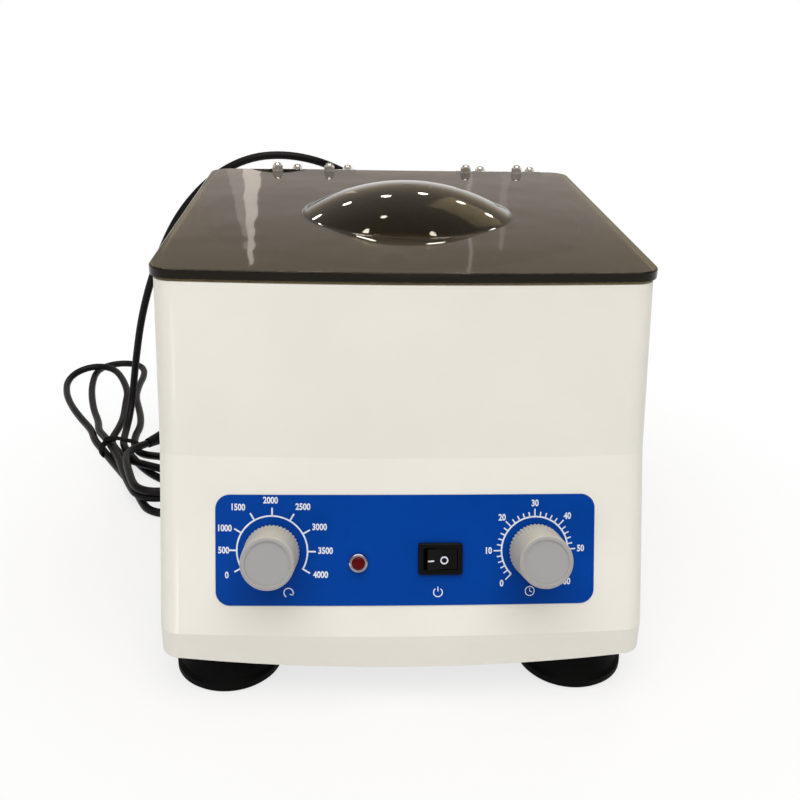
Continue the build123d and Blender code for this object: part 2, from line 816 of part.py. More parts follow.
with BuildPart() as motor_shaft:
    shaft_low = motor_bottom + 0.5
    shaft_high = hub_top + rotor_nut_height - 3
    with BuildSketch(Plane.XY.offset(shaft_low)):
        with Locations((0, chamber_y)):
            Circle(shaft_radius)
    extrude(amount=shaft_high - shaft_low)
    chamfer(motor_shaft.faces().sort_by(Axis.Z)[-1].edges(), length=0.8)
save(motor_shaft.part, "motor_shaft")

with BuildPart() as armature:
    with BuildSketch(section_plane):
        with BuildLine():
            Polyline(
                (shaft_radius, armature_bottom - winding_length),
                (winding_radius, armature_bottom - winding_length),
                (winding_radius, armature_bottom),
                (armature_radius, armature_bottom),
                (armature_radius, armature_top),
                (winding_radius, armature_top),
                (winding_radius, commutator_bottom),
                (commutator_radius, commutator_bottom),
                (commutator_radius, commutator_top),
                (shaft_radius, commutator_top),
                close=True,
            )
        make_face()
    revolve(axis=spindle)
save(armature.part, "armature")

# ---------------------------------------------------------------- rotor
pocket_axes = [
    Plane(
        origin=(
            pocket_rim_radius * cos(radians(angle)),
            chamber_y + pocket_rim_radius * sin(radians(angle)),
            pocket_rim_z,
        ),
        x_dir=(-sin(radians(angle)), cos(radians(angle)), 0),
        z_dir=(
            -sin(tube_slope) * cos(radians(angle)),
            -sin(tube_slope) * sin(radians(angle)),
            cos(tube_slope),
        ),
    )
    for angle in [360 / tube_count * i + 360 / tube_count / 2 for i in range(tube_count)]
]
# the head's funnel plate lies square to the tubes, with the pockets' flanges sunk into its upper side
rise = tan(tube_slope)


def funnel_z(radius):
    """Height of the funnel plate's upper side at a radius from the spindle."""
    return pocket_rim_z + (radius - pocket_rim_radius) * rise + seat_depth / cos(tube_slope)


with BuildPart() as pocket_cutters:
    for pocket in pocket_axes:
        with BuildSketch(pocket):
            Circle(sleeve_outer_radius + hole_gap)
        extrude(amount=-sleeve_length - head_plate)
        # flat seat for the sleeve's flange
        with BuildSketch(pocket):
            Circle(sleeve_outer_radius + sleeve_flange + hole_gap)
        extrude(amount=2 * head_plate)

with BuildPart() as rotor_head:
    drop = head_plate / cos(tube_slope)
    with BuildSketch(section_plane):
        with BuildLine():
            Polyline(
                (shaft_radius, hub_bottom),
                (hub_radius - 4, hub_bottom),
                (hub_radius, hub_bottom + 4),
                (hub_radius, bowl_floor + star_height),
                (star_radius, bowl_floor + star_height),
                (star_radius, bowl_floor + star_height + star_plate),
                (hub_radius, bowl_floor + star_height + star_plate),
                (hub_radius, funnel_z(hub_radius) - drop),
                (head_rim_radius, funnel_z(head_rim_radius) - drop),
                (head_rim_radius + head_plate, funnel_z(head_rim_radius) - drop + head_plate),
                (head_rim_radius + head_plate, funnel_z(head_rim_radius) - 1),
                (head_rim_radius + 1, funnel_z(head_rim_radius)),
                (head_rim_radius, funnel_z(head_rim_radius)),
                (hub_radius, funnel_z(hub_radius)),
                (hub_radius, hub_top),
                (shaft_radius, hub_top),
                close=True,
            )
        make_face()
    revolve(axis=spindle)
    add(pocket_cutters.part, mode=Mode.SUBTRACT)
save(rotor_head.part, "rotor_head")

sleeve_bore_depth = sleeve_length + sleeve_flange_thickness - sleeve_floor - cushion_thickness
with BuildPart() as tube_sleeves:
    for pocket in pocket_axes:
        with BuildSketch(pocket):
            Circle(sleeve_outer_radius + sleeve_flange)
        extrude(amount=sleeve_flange_thickness)
        with BuildSketch(pocket):
            Circle(sleeve_outer_radius)
        extrude(amount=-sleeve_length)
    foot_faces = [face for face in tube_sleeves.faces() if face.center().Z < pocket_rim_z - sleeve_length * 0.6]
    bottom_rims = [edge for face in foot_faces for edge in face.edges() if face.geom_type == GeomType.PLANE]
    fillet(bottom_rims, radius=4)
    for pocket in pocket_axes:
        with BuildSketch(pocket.offset(sleeve_flange_thickness)):
            Circle(sleeve_bore_radius)
        extrude(amount=-sleeve_bore_depth, mode=Mode.SUBTRACT)
        with BuildSketch(pocket.offset(-sleeve_length + sleeve_floor)):
            Circle(sleeve_bore_radius - cushion_ledge)
        extrude(amount=cushion_thickness, mode=Mode.SUBTRACT)
save(tube_sleeves.part, "tube_sleeves")

with BuildPart() as sleeve_cushions:
    for pocket in pocket_axes:
        with BuildSketch(pocket.offset(-sleeve_length + sleeve_floor)):
            Circle(sleeve_bore_radius - cushion_ledge - hole_gap)
        extrude(amount=cushion_thickness)
save(sleeve_cushions.part, "sleeve_cushions")

with BuildPart() as rotor_nut:
    with BuildSketch(Plane.XY.offset(hub_top)):
        with Locations((0, chamber_y)):
            RegularPolygon(radius=rotor_nut_across / 2, side_count=6, major_radius=False)
    extrude(amount=rotor_nut_height * 0.6)
    with BuildSketch(Plane.XY.offset(hub_top + rotor_nut_height * 0.6)):
        with Locations((0, chamber_y)):
            Circle(rotor_nut_across / 2 - 1)
    extrude(amount=rotor_nut_height * 0.4)
    fillet(rotor_nut.faces().sort_by(Axis.Z)[-1].edges(), radius=rotor_nut_height * 0.3)
    with BuildSketch(Plane.XY.offset(hub_top)):
        with Locations((0, chamber_y)):
            Circle(shaft_radius)
    extrude(amount=rotor_nut_height - 3, mode=Mode.SUBTRACT)
save(rotor_nut.part, "rotor_nut")

# ---------------------------------------------------------------- lid and hinges
with BuildPart() as lid_panel:
    with BuildSketch(Plane.XY.offset(lid_bottom)):
        with BuildLine():
            ThreePointArc(
                (-lid_width / 2, lid_front_y), (0, lid_front_y - front_bow), (lid_width / 2, lid_front_y)
            )
            Polyline(
                (lid_width / 2, lid_front_y),
                (lid_width / 2, lid_back_y),
                (-lid_width / 2, lid_back_y),
                (-lid_width / 2, lid_front_y),
            )
        make_face()
    extrude(amount=lid_thickness)
    fillet(lid_panel.edges().filter_by(Axis.Z), radius=lid_corner_radius)
    fillet(lid_panel.faces().sort_by(Axis.Z)[-1].edges(), radius=lid_edge_round)
    dome_y = chamber_y - dome_lead
    outer_sphere = (dome_radius**2 + dome_height**2) / (2 * dome_height)
    inner_sphere = outer_sphere - dome_wall
    sphere_z = lid_top + dome_height - outer_sphere
    inner_reach = sqrt(inner_sphere**2 - (lid_bottom - sphere_z) ** 2)
    half_outer = atan2(dome_radius, lid_top - sphere_z) / 2
    half_inner = atan2(inner_reach, lid_bottom - sphere_z) / 2
    dome_plane = Plane(origin=(dome_x, dome_y, 0), x_dir=(1, 0, 0), z_dir=(0, -1, 0))
    dome_axis = Axis((dome_x, dome_y, 0), (0, 0, 1))
    with BuildSketch(dome_plane):
        with BuildLine():
            ThreePointArc(
                (0, sphere_z + outer_sphere),
                (outer_sphere * sin(half_outer), sphere_z + outer_sphere * cos(half_outer)),
                (dome_radius, lid_top),
            )
            Polyline((dome_radius, lid_top), (dome_radius, lid_bottom), (0, lid_bottom), (0, sphere_z + outer_sphere))
        make_face()
    revolve(axis=dome_axis)
    with BuildSketch(dome_plane):
        with BuildLine():
            ThreePointArc(
                (0, sphere_z + inner_sphere),
                (inner_sphere * sin(half_inner), sphere_z + inner_sphere * cos(half_inner)),
                (inner_reach, lid_bottom),
            )
            Polyline((inner_reach, lid_bottom), (0, lid_bottom), (0, sphere_z + inner_sphere))
        make_face()
    revolve(axis=dome_axis, mode=Mode.SUBTRACT)
    root_edges = [
        edge
        for edge in lid_panel.edges().filter_by(GeomType.CIRCLE)
        if abs(edge.radius - dome_radius) < 0.01 and abs(edge.center().Z - lid_top) < 0.01
    ]
    fillet(root_edges, radius=dome_root)
    with Locations(*[(x, lid_bolt_y, lid_top) for x in lid_bolt_xs]):
        Hole(small_bolt_radius + hole_gap, depth=lid_thickness)
save(lid_panel.part, "lid_panel")

knuckle_length = hinge_length / 3
pin_plane = Plane(origin=(0, hinge_y, hinge_z), x_dir=(0, 1, 0), z_dir=(1, 0, 0))
leaf_clear = knuckle_radius + leaf_gap
with BuildPart() as lid_hinge_leaves:
    for x in hinge_xs:
        with BuildSketch(Plane.XY.offset(shell_top + running_gap * 2)):
            with Locations((x, hinge_y - (leaf_reach + leaf_clear) / 2)):
                Rectangle(hinge_length, leaf_reach - leaf_clear)
            with Locations((x, hinge_y - leaf_clear / 2)):
                Rectangle(knuckle_length - knuckle_gap, leaf_clear)
        extrude(amount=leaf_thickness - running_gap * 2)
        with BuildSketch(pin_plane.offset(x - knuckle_length / 2 + knuckle_gap / 2)):
            Circle(knuckle_radius - running_gap * 2)
        extrude(amount=knuckle_length - knuckle_gap)
    with BuildSketch(pin_plane.offset(hinge_xs[0] - hinge_length)):
        Circle(pin_radius + running_gap)
    extrude(amount=hinge_spread + 2 * hinge_length, mode=Mode.SUBTRACT)
    for x in lid_bolt_xs:
        with BuildSketch(Plane.XY.offset(shell_top)):
            with Locations((x, lid_bolt_y)):
                Circle(small_bolt_head_radius + hole_gap)
        with BuildSketch(Plane.XY.offset(lid_bottom)):
            with Locations((x, lid_bolt_y)):
                Circle(small_bolt_radius + hole_gap)
        loft(mode=Mode.SUBTRACT)
save(lid_hinge_leaves.part, "lid_hinge_leaves")

with BuildPart() as body_hinge_leaves:
    for x in hinge_xs:
        with BuildSketch(Plane.XY.offset(shell_top)):
            with Locations((x, hinge_y + (leaf_reach + leaf_clear) / 2)):
                Rectangle(hinge_length, leaf_reach - leaf_clear)
            for side in (-1, 1):
                with Locations((x + side * knuckle_length, hinge_y + leaf_clear / 2)):
                    Rectangle(knuckle_length - knuckle_gap, leaf_clear)
        extrude(amount=leaf_thickness)
        for side in (-1, 1):
            with BuildSketch(pin_plane.offset(x + side * knuckle_length - knuckle_length / 2 + knuckle_gap / 2)):
                Circle(knuckle_radius)
            extrude(amount=knuckle_length - knuckle_gap)
    with BuildSketch(pin_plane.offset(hinge_xs[0] - hinge_length)):
        Circle(pin_radius)
    extrude(amount=hinge_spread + 2 * hinge_length, mode=Mode.SUBTRACT)
    with Locations(*[(x, ledge_bolt_y, lid_bottom) for x in ledge_bolt_xs]):
        Hole(small_bolt_radius + hole_gap, depth=leaf_thickness)
save(body_hinge_leaves.part, "body_hinge_leaves")

with BuildPart() as hinge_pins:
    for x in hinge_xs:
        with BuildSketch(pin_plane.offset(x - hinge_length / 2)):
            Circle(pin_radius)
        extrude(amount=hinge_length)
save(hinge_pins.part, "hinge_pins")

nut_bore_top = lid_top + washer_thickness + small_nut_height
with BuildPart() as lid_bolts:
    for x in lid_bolt_xs:
        head = Plane(origin=(x, lid_bolt_y, shell_top + running_gap * 3), x_dir=(1, 0, 0), z_dir=(0, 0, -1))
        length = nut_bore_top - shell_top - running_gap * 3
        add(screw(head, small_bolt_radius, length, small_bolt_head_radius, small_bolt_head_height, sunk=True))
save(lid_bolts.part, "lid_bolts")

with BuildPart() as lid_nuts:
    for x in lid_bolt_xs:
        add(cap_nut(Plane(origin=(x, lid_bolt_y, lid_top + washer_thickness))))
save(lid_nuts.part, "lid_nuts")

with BuildPart() as lid_washers:
    for x in lid_bolt_xs:
        add(washer(Plane(origin=(x, lid_bolt_y, lid_top))))
save(lid_washers.part, "lid_washers")

with BuildPart() as hinge_bolts:
    for x in ledge_bolt_xs:
        head = Plane(origin=(x, ledge_bolt_y, bowl_top), x_dir=(1, 0, 0), z_dir=(0, 0, -1))
        length = lid_bottom + washer_thickness + small_nut_height - bowl_top
        add(screw(head, small_bolt_radius, length, ledge_bolt_head_radius, ledge_bolt_head_height))
save(hinge_bolts.part, "hinge_bolts")

with BuildPart() as hinge_nuts:
    for x in ledge_bolt_xs:
        add(cap_nut(Plane(origin=(x, ledge_bolt_y, lid_bottom + washer_thickness))))
save(hinge_nuts.part, "hinge_nuts")

with BuildPart() as hinge_washers:
    for x in ledge_bolt_xs:
        add(washer(Plane(origin=(x, ledge_bolt_y, lid_bottom))))
save(hinge_washers.part, "hinge_washers")

# ---------------------------------------------------------------- controls
with BuildPart() as front_label:
    with BuildSketch(console_plane(0, 0, 4 * body_wall)):
        with Locations((label_x, label_v)):
            RectangleRounded(label_width, label_height, label_corner_radius)
    extrude(amount=-8 * body_wall)
    add(body_form(-label_thickness, corner_radius, shell_low, shell_top), mode=Mode.INTERSECT)
    add(body_form(-label_glue, corner_radius, shell_low, shell_top), mode=Mode.SUBTRACT)
    add(console_openings(3 * body_wall), mode=Mode.SUBTRACT)
save(front_label.part, "front_label")

nut_seat = label_thickness + bow_gap(knob_x, control_nut_across / 2 * 1.16)
pot_seat = -body_wall - bow_gap(knob_x, pot_radius)
timer_seat = -body_wall - bow_gap(knob_x, timer_size / 2)
lamp_seat = label_thickness + bow_gap(lamp_x, lamp_bezel_radius)
lamp_nut_seat = -body_wall - bow_gap(lamp_x, lamp_bezel_radius * 1.16)
switch_seat = label_thickness + bow_gap(switch_x, switch_bezel_width / 2)


def knob(x):
    """A fluted knob with a plain flat cap, standing off the console on its stem."""
    base = console_plane(x, control_v, knob_gap)
    outward = Axis(base.origin, base.z_dir)
    with BuildPart() as body:
        with BuildSketch(base):
            Circle(knob_base_radius)
        with BuildSketch(base.offset(knob_height)):
            Circle(knob_cap_radius)
        loft()
        fillet(body.faces().sort_by(outward)[-1].edges(), radius=knob_cap_round)
        with BuildSketch(base):
            with PolarLocations(knob_base_radius + knob_flute_radius * 0.35, knob_flutes):
                Circle(knob_flute_radius)
        extrude(amount=knob_height - knob_cap_height, mode=Mode.SUBTRACT)
        with BuildSketch(base.offset(knob_height)):
            Circle(knob_cap_radius - knob_cap_rim)
        extrude(amount=-knob_cap_recess, mode=Mode.SUBTRACT)
        with BuildSketch(base):
            Circle(knob_recess_radius)
        extrude(amount=knob_recess_depth, mode=Mode.SUBTRACT)
        with BuildSketch(base):
            Circle(stem_radius)
        extrude(amount=knob_recess_depth + stem_engagement, mode=Mode.SUBTRACT)
    return body.part


def stem(x, tail_n):
    """The steel stem that turns in the bushing and carries the knob."""
    tip = knob_gap + knob_recess_depth + stem_engagement
    with BuildPart() as body:
        with BuildSketch(console_plane(x, control_v, tip)):
            Circle(stem_radius)
        extrude(amount=tail_n - tip)
    return body.part


def bushing(x, seat):
    """The threaded bushing through the console that a stem turns in."""
    top = nut_seat + control_nut_height + bushing_spare
    with BuildPart() as body:
        with BuildSketch(console_plane(x, control_v, top)):
            Circle(bushing_radius)
            Circle(stem_radius + running_gap, mode=Mode.SUBTRACT)
        extrude(amount=seat - top)
    return body.part


with BuildPart() as speed_knob:
    add(knob(-knob_x))
save(speed_knob.part, "speed_knob")

with BuildPart() as time_knob:
    add(knob(knob_x))
save(time_knob.part, "time_knob")

with BuildPart() as speed_stem:
    add(stem(-knob_x, pot_seat - stem_tail))
save(speed_stem.part, "speed_stem")

with BuildPart() as time_stem:
    add(stem(knob_x, timer_seat - stem_tail))
save(time_stem.part, "time_stem")

with BuildPart() as control_bushings:
    add(bushing(-knob_x, pot_seat))
    add(bushing(knob_x, timer_seat))
save(control_bushings.part, "control_bushings")

with BuildPart() as control_nuts:
    for x in (-knob_x, knob_x):
        with BuildSketch(console_plane(x, control_v, nut_seat)):
            RegularPolygon(radius=control_nut_across / 2, side_count=6, major_radius=False)
            Circle(bushing_radius, mode=Mode.SUBTRACT)
        extrude(amount=control_nut_height)
save(control_nuts.part, "control_nuts")

with BuildPart() as speed_potentiometer:
    with BuildSketch(console_plane(-knob_x, control_v, pot_seat)):
        Circle(pot_radius)
        with Locations((0, -pot_terminal_reach / 2)):
            Rectangle(pot_terminal_width, pot_terminal_reach)
        Circle(stem_radius + running_gap, mode=Mode.SUBTRACT)
    extrude(amount=-pot_depth)
save(speed_potentiometer.part, "speed_potentiometer")

with BuildPart() as timer_unit:
    with BuildSketch(console_plane(knob_x, control_v, timer_seat)):
        RectangleRounded(timer_size, timer_size, 3)
        Circle(stem_radius + running_gap, mode=Mode.SUBTRACT)
    extrude(amount=-timer_depth)
save(timer_unit.part, "timer_unit")

with BuildPart() as lamp_bezel:
    bezel_plane = console_plane(lamp_x, lamp_v, lamp_seat)
    with BuildSketch(bezel_plane):
        Circle(lamp_bezel_radius)
    extrude(amount=lamp_bezel_height)
    outward = Axis(bezel_plane.origin, bezel_plane.z_dir)
    fillet(lamp_bezel.faces().sort_by(outward)[-1].edges(), radius=lamp_bezel_round)
    with BuildSketch(bezel_plane):
        Circle(lamp_barrel_radius)
    extrude(amount=-lamp_barrel_length)
    with BuildSketch(bezel_plane.offset(lamp_bezel_height)):
        Circle(lamp_lens_radius)
    extrude(amount=-lamp_bezel_height - lamp_barrel_length + lamp_barrel_floor, mode=Mode.SUBTRACT)
save(lamp_bezel.part, "lamp_bezel")

with BuildPart() as lamp_lens:
    lens_top = lamp_bezel_height + lamp_lens_height
    lens_plane = console_plane(lamp_x, lamp_v, lamp_seat + lens_top)
    with BuildSketch(lens_plane):
        Circle(lamp_lens_radius)
    extrude(amount=-lens_top - lamp_lens_depth)
    outward = Axis(lens_plane.origin, lens_plane.z_dir)
    fillet(lamp_lens.faces().sort_by(outward)[-1].edges(), radius=lamp_lens_height * 0.95)
save(lamp_lens.part, "lamp_lens")

with BuildPart() as lamp_nut:
    with BuildSketch(console_plane(lamp_x, lamp_v, lamp_nut_seat)):
        RegularPolygon(radius=lamp_bezel_radius, side_count=6, major_radius=False)
        Circle(lamp_barrel_radius, mode=Mode.SUBTRACT)
    extrude(amount=-lamp_nut_height)
save(lamp_nut.part, "lamp_nut")

switch_plane = console_plane(switch_x, switch_v, switch_seat)
rocker_tilt = radians(rocker_throw / 2)
rocker_lever = rocker_crest + rocker_pin_drop
rocker_half = (rocker_well_width / 2 - rocker_clearance - rocker_lever * sin(rocker_tilt)) * cos(rocker_tilt)
rocker_half_height = rocker_well_height / 2 - rocker_clearance
with BuildPart() as switch_frame:
    with BuildSketch(switch_plane):
        RectangleRounded(switch_bezel_width, switch_bezel_height, switch_corner_radius)
    extrude(amount=switch_bezel_thickness)
    outward = Axis(switch_plane.origin, switch_plane.z_dir)
    fillet(switch_frame.faces().sort_by(outward)[-1].edges(), radius=switch_bezel_thickness * 0.45)
    with BuildSketch(switch_plane):
        Rectangle(switch_body_width, switch_body_height)
    extrude(amount=-switch_body_depth)
    with BuildSketch(switch_plane.offset(switch_bezel_thickness)):
        Rectangle(rocker_well_width, rocker_well_height)
    extrude(amount=-switch_bezel_thickness - rocker_root - 3, mode=Mode.SUBTRACT)
save(switch_frame.part, "switch_frame")

# the rocker turns on a pin along the console's slope, and rests with its right half pressed in
rocker_pivot = switch_plane.offset(-rocker_pin_drop)
rocker_section = Plane(origin=rocker_pivot.origin, x_dir=(1, 0, 0), z_dir=-rocker_pivot.y_dir)
rocker_edge = rocker_lever + rocker_half * tan(rocker_tilt)
rocker_neutral = [
    (-rocker_half, rocker_edge),
    (0, rocker_lever),
    (rocker_half, rocker_edge),
    (rocker_half - rocker_draft, rocker_pin_radius),
    (rocker_pin_radius * 2.5, rocker_pin_drop - rocker_root),
    (-rocker_pin_radius * 2.5, rocker_pin_drop - rocker_root),
    (-rocker_half + rocker_draft, rocker_pin_radius),
]
rocker_rest = [
    (x * cos(rocker_tilt) + n * sin(rocker_tilt), n * cos(rocker_tilt) - x * sin(rocker_tilt))
    for x, n in rocker_neutral
]
with BuildPart() as power_rocker:
    with BuildSketch(rocker_section):
        with BuildLine():
            Polyline(*rocker_rest, close=True)
        make_face()
        Circle(rocker_pin_radius + running_gap, mode=Mode.SUBTRACT)
    extrude(amount=rocker_half_height, both=True)
save(power_rocker.part, "power_rocker")

with BuildPart() as rocker_pin:
    with BuildSketch(rocker_section):
        Circle(rocker_pin_radius)
    extrude(amount=rocker_well_height / 2, both=True)
save(rocker_pin.part, "rocker_pin")

# ---------------------------------------------------------------- control board
board_x = -half_width + body_wall + board_side_gap + board_width / 2
board_y = crease_y + board_gap + board_depth / 2
board_bottom = base_top + standoff_height
board_holes = [
    (board_x + i * (board_width / 2 - standoff_inset), board_y + j * (board_depth / 2 - standoff_inset))
    for i in (-1, 1)
    for j in (-1, 1)
]
with BuildPart() as board_standoffs:
    with BuildSketch(Plane.XY.offset(base_top)):
        with Locations(*board_holes):
            Circle(standoff_radius)
    extrude(amount=standoff_height)
save(board_standoffs.part, "board_standoffs")

with BuildPart() as control_board:
    with BuildSketch(Plane.XY.offset(board_bottom)):
        with Locations((board_x, board_y)):
            Rectangle(board_width, board_depth)
    extrude(amount=board_thickness)
save(control_board.part, "control_board")

board_top = board_bottom + board_thickness
sink_pitch = (sink_width - sink_fin) / (sink_fin_count - 1)
board_edge_x = board_x - board_width / 2
board_front_y = board_y - board_depth / 2
with BuildPart() as board_parts:
    with BuildSketch(Plane.XY.offset(board_top)):
        with Locations((board_edge_x + 2.5 * capacitor_radius, board_y)):
            with GridLocations(0, 2.6 * capacitor_radius, 1, 2):
                Circle(capacitor_radius)
    extrude(amount=capacitor_height)
    with BuildSketch(Plane.XY.offset(board_top)):
        with Locations((board_edge_x + board_width - relay_width, board_front_y + board_depth - relay_depth)):
            Rectangle(relay_width, relay_depth)
    extrude(amount=relay_height)
    with BuildSketch(Plane.XY.offset(board_top)):
        with Locations((board_x, board_front_y + terminal_depth)):
            Rectangle(terminal_width, terminal_depth)
    extrude(amount=terminal_height)
save(board_parts.part, "board_parts")

with BuildPart() as heat_sink:
    with BuildSketch(Plane.XY.offset(board_top)):
        with Locations((board_edge_x + board_width - sink_width, board_y - sink_fin_depth)):
            Rectangle(sink_width, sink_back, align=(Align.CENTER, Align.MAX))
            with GridLocations(sink_pitch, 0, sink_fin_count, 1):
                Rectangle(sink_fin, sink_fin_depth, align=(Align.CENTER, Align.MIN))
    extrude(amount=sink_height)
save(heat_sink.part, "heat_sink")

# ---------------------------------------------------------------- rear fittings
with BuildPart() as fuse_holder:
    with BuildSketch(rear_plane):
        with Locations((-fuse_x, gland_z)):
            Circle(fuse_flange_radius)
    extrude(amount=fuse_flange_thickness)
    with BuildSketch(rear_plane.offset(fuse_flange_thickness)):
        with Locations((-fuse_x, gland_z)):
            Circle(fuse_cap_radius)
    extrude(amount=fuse_cap_height)
    chamfer(fuse_holder.faces().sort_by(Axis.Y)[-1].edges(), length=fuse_cap_chamfer)
    with BuildSketch(rear_plane.offset(fuse_flange_thickness + fuse_cap_height)):
        with Locations((-fuse_x, gland_z)):
            Rectangle(fuse_slot_length, fuse_slot_width)
    extrude(amount=-fuse_slot_depth, mode=Mode.SUBTRACT)
    with BuildSketch(rear_plane):
        with Locations((-fuse_x, gland_z)):
            Circle(fuse_cap_radius)
    extrude(amount=-fuse_barrel_length)
save(fuse_holder.part, "fuse_holder")

with BuildPart() as strain_relief:
    gland_plane = Plane(origin=(gland_x, 0, gland_z), x_dir=(1, 0, 0), z_dir=(0, 0, 1))
    with BuildSketch(gland_plane):
        with BuildLine():
            Polyline(
                (0, rear_wall_y - body_wall - gland_nut_thickness),
                (gland_flange_radius, rear_wall_y - body_wall - gland_nut_thickness),
                (gland_flange_radius, rear_wall_y - body_wall),
                (gland_barrel_radius, rear_wall_y - body_wall),
                (gland_barrel_radius, rear_wall_y),
                (gland_flange_radius, rear_wall_y),
                (gland_flange_radius, rear_wall_y + gland_flange_thickness),
                (gland_root_radius, rear_wall_y + gland_flange_thickness),
                (gland_tip_radius, rear_wall_y + gland_reach),
                (0, rear_wall_y + gland_reach),
                close=True,
            )
        make_face()
    revolve(axis=Axis((gland_x, 0, gland_z), (0, 1, 0)))
save(strain_relief.part, "strain_relief")

# ---------------------------------------------------------------- mains lead
cord_radius = cord_diameter / 2
exit_y = rear_wall_y + gland_reach
floor_z = cord_radius
# The lead's route: straight back out of the relief, round and up to lean behind the lid's left hinge, over, down
# past the rear left corner onto the table, then forward into the hank.
side_wall_x = -half_width
cord_points = [
    (gland_x, exit_y, gland_z),
    (gland_x, exit_y + 18.5, gland_z),
    (gland_x - 6.5, exit_y + 34.5, gland_z + 6.5),
    (gland_x - 18, exit_y + 43.5, gland_z + 18),
    (gland_x - 32, exit_y + 44, gland_z + 30.5),
    (gland_x - 46, exit_y + 33, gland_z + 43),
    (gland_x - 60, exit_y + 17, gland_z + 55),
    (gland_x - 76, exit_y + 1, gland_z + 66),
    (gland_x - 96, rear_wall_y + 9, shell_top + 8),
    (gland_x - 120, rear_wall_y + 6, shell_top + 12.5),
    (gland_x - 144, rear_wall_y + 6, shell_top + 10.5),
    (side_wall_x + 2, rear_wall_y + 7, shell_top + 0.5),
    (side_wall_x - 18, rear_wall_y + 7, shell_top - 15.5),
    (side_wall_x - 36, rear_wall_y + 6, shell_top - 37),
    (side_wall_x - 49.5, rear_wall_y + 5, shell_top - 62.5),
    (side_wall_x - 61.5, rear_wall_y + 5, shell_top - 91.5),
    (side_wall_x - 71.5, rear_wall_y + 8, shell_top - 123.5),
    (side_wall_x - 79, rear_wall_y + 12, floor_z + 55.5),
    (side_wall_x - 84, rear_wall_y + 14.5, floor_z + 25.8),
    (side_wall_x - 86, rear_wall_y + 5.2, floor_z + 9.4),
    (side_wall_x - 86.8, rear_wall_y - 11.2, floor_z),
    (side_wall_x - 84.9, rear_wall_y - 30.1, floor_z),
]


def turn_radii(points):
    """For each corner of a route, the largest arc that its two runs allow."""
    radii = []
    for before, here, after in zip(points, points[1:], points[2:]):
        run_in = Vector(*here) - Vector(*before)
        run_out = Vector(*after) - Vector(*here)
        half_turn = radians(run_in.get_angle(run_out)) / 2
        radii.append(0.45 * min(run_in.length, run_out.length) / tan(half_turn))
    return radii


cord_radii = turn_radii(cord_points)
print("cord turn radii", [round(radius, 1) for radius in cord_radii])
with BuildPart() as power_cord:
    with BuildLine() as route:
        FilletPolyline(*cord_points, radius=cord_radii)
    cord_path = route.wire()
    with BuildSketch(Plane(origin=cord_path @ 0, z_dir=cord_path % 0)):
        Circle(cord_radius)
    sweep(path=cord_path)
print("cord tube length", round(cord_path.length, 2), "volume", round(power_cord.part.volume, 1))
print("section times length", round(cord_path.length * pi * cord_radius**2, 1))
save(power_cord.part, "power_cord")

# The hank lies on the table beside the rear left corner, with two loops fanned out at its far end. The lead enters
# it square to one short edge and the plug leaves it square to another.
hank_entry = Vector(cord_points[-1][0], cord_points[-1][1], 0)
entry_across = Vector(0.995, 0.1, 0)
plug_foot = Vector(side_wall_x - 61, rear_wall_y - 52, 0)
plug_direction = Vector(0.6, 0.8, 0)
plug_across = Vector(0.8, -0.6, 0)
hank_outline = [
    hank_entry - entry_across * 9,
    hank_entry + entry_across * 9,
    plug_foot - plug_across * 9,
    plug_foot + plug_across * 9,
    Vector(side_wall_x - 43, rear_wall_y - 87),
    Vector(side_wall_x - 11, rear_wall_y - 157),
    Vector(side_wall_x - 9, rear_wall_y - 182),
    Vector(side_wall_x - 19, rear_wall_y - 195),
    Vector(side_wall_x - 33, rear_wall_y - 192),
    Vector(side_wall_x - 46, rear_wall_y - 162),
    Vector(side_wall_x - 68, rear_wall_y - 119),
    Vector(side_wall_x - 88, rear_wall_y - 72),
    Vector(side_wall_x - 111, rear_wall_y - 32),
    Vector(side_wall_x - 141, rear_wall_y + 13),
    Vector(side_wall_x - 164, rear_wall_y + 63),
    Vector(side_wall_x - 162, rear_wall_y + 113),
    Vector(side_wall_x - 152, rear_wall_y + 140),
    Vector(side_wall_x - 132, rear_wall_y + 151),
    Vector(side_wall_x - 111, rear_wall_y + 138),
    Vector(side_wall_x - 100, rear_wall_y + 98),
    Vector(side_wall_x - 96, rear_wall_y + 43),
    Vector(side_wall_x - 96, rear_wall_y + 3),
]
tie_plane = Plane(origin=(side_wall_x - 83.3, rear_wall_y - 49.7, 0), x_dir=(0.88, 0.475, 0), z_dir=(0, 0, 1))
tie_length = 32.0

with BuildPart() as cord_tie:
    with BuildSketch(tie_plane):
        Rectangle(tie_length, tie_width)
    extrude(amount=hank_height + tie_thickness)
    with BuildSketch(tie_plane.offset(tie_thickness)):
        Rectangle(tie_length - 2 * tie_thickness, tie_width)
    extrude(amount=hank_height - tie_thickness, mode=Mode.SUBTRACT)
save(cord_tie.part, "cord_tie")

with BuildPart() as cord_hank:
    with BuildSketch() as hank_plan:
        with BuildLine():
            Polyline(*hank_outline, close=True)
        make_face()
        fillet(hank_plan.vertices(), radius=hank_corner_radius)
    extrude(amount=hank_height)
    add(cord_tie.part, mode=Mode.SUBTRACT)
save(cord_hank.part, "cord_hank")

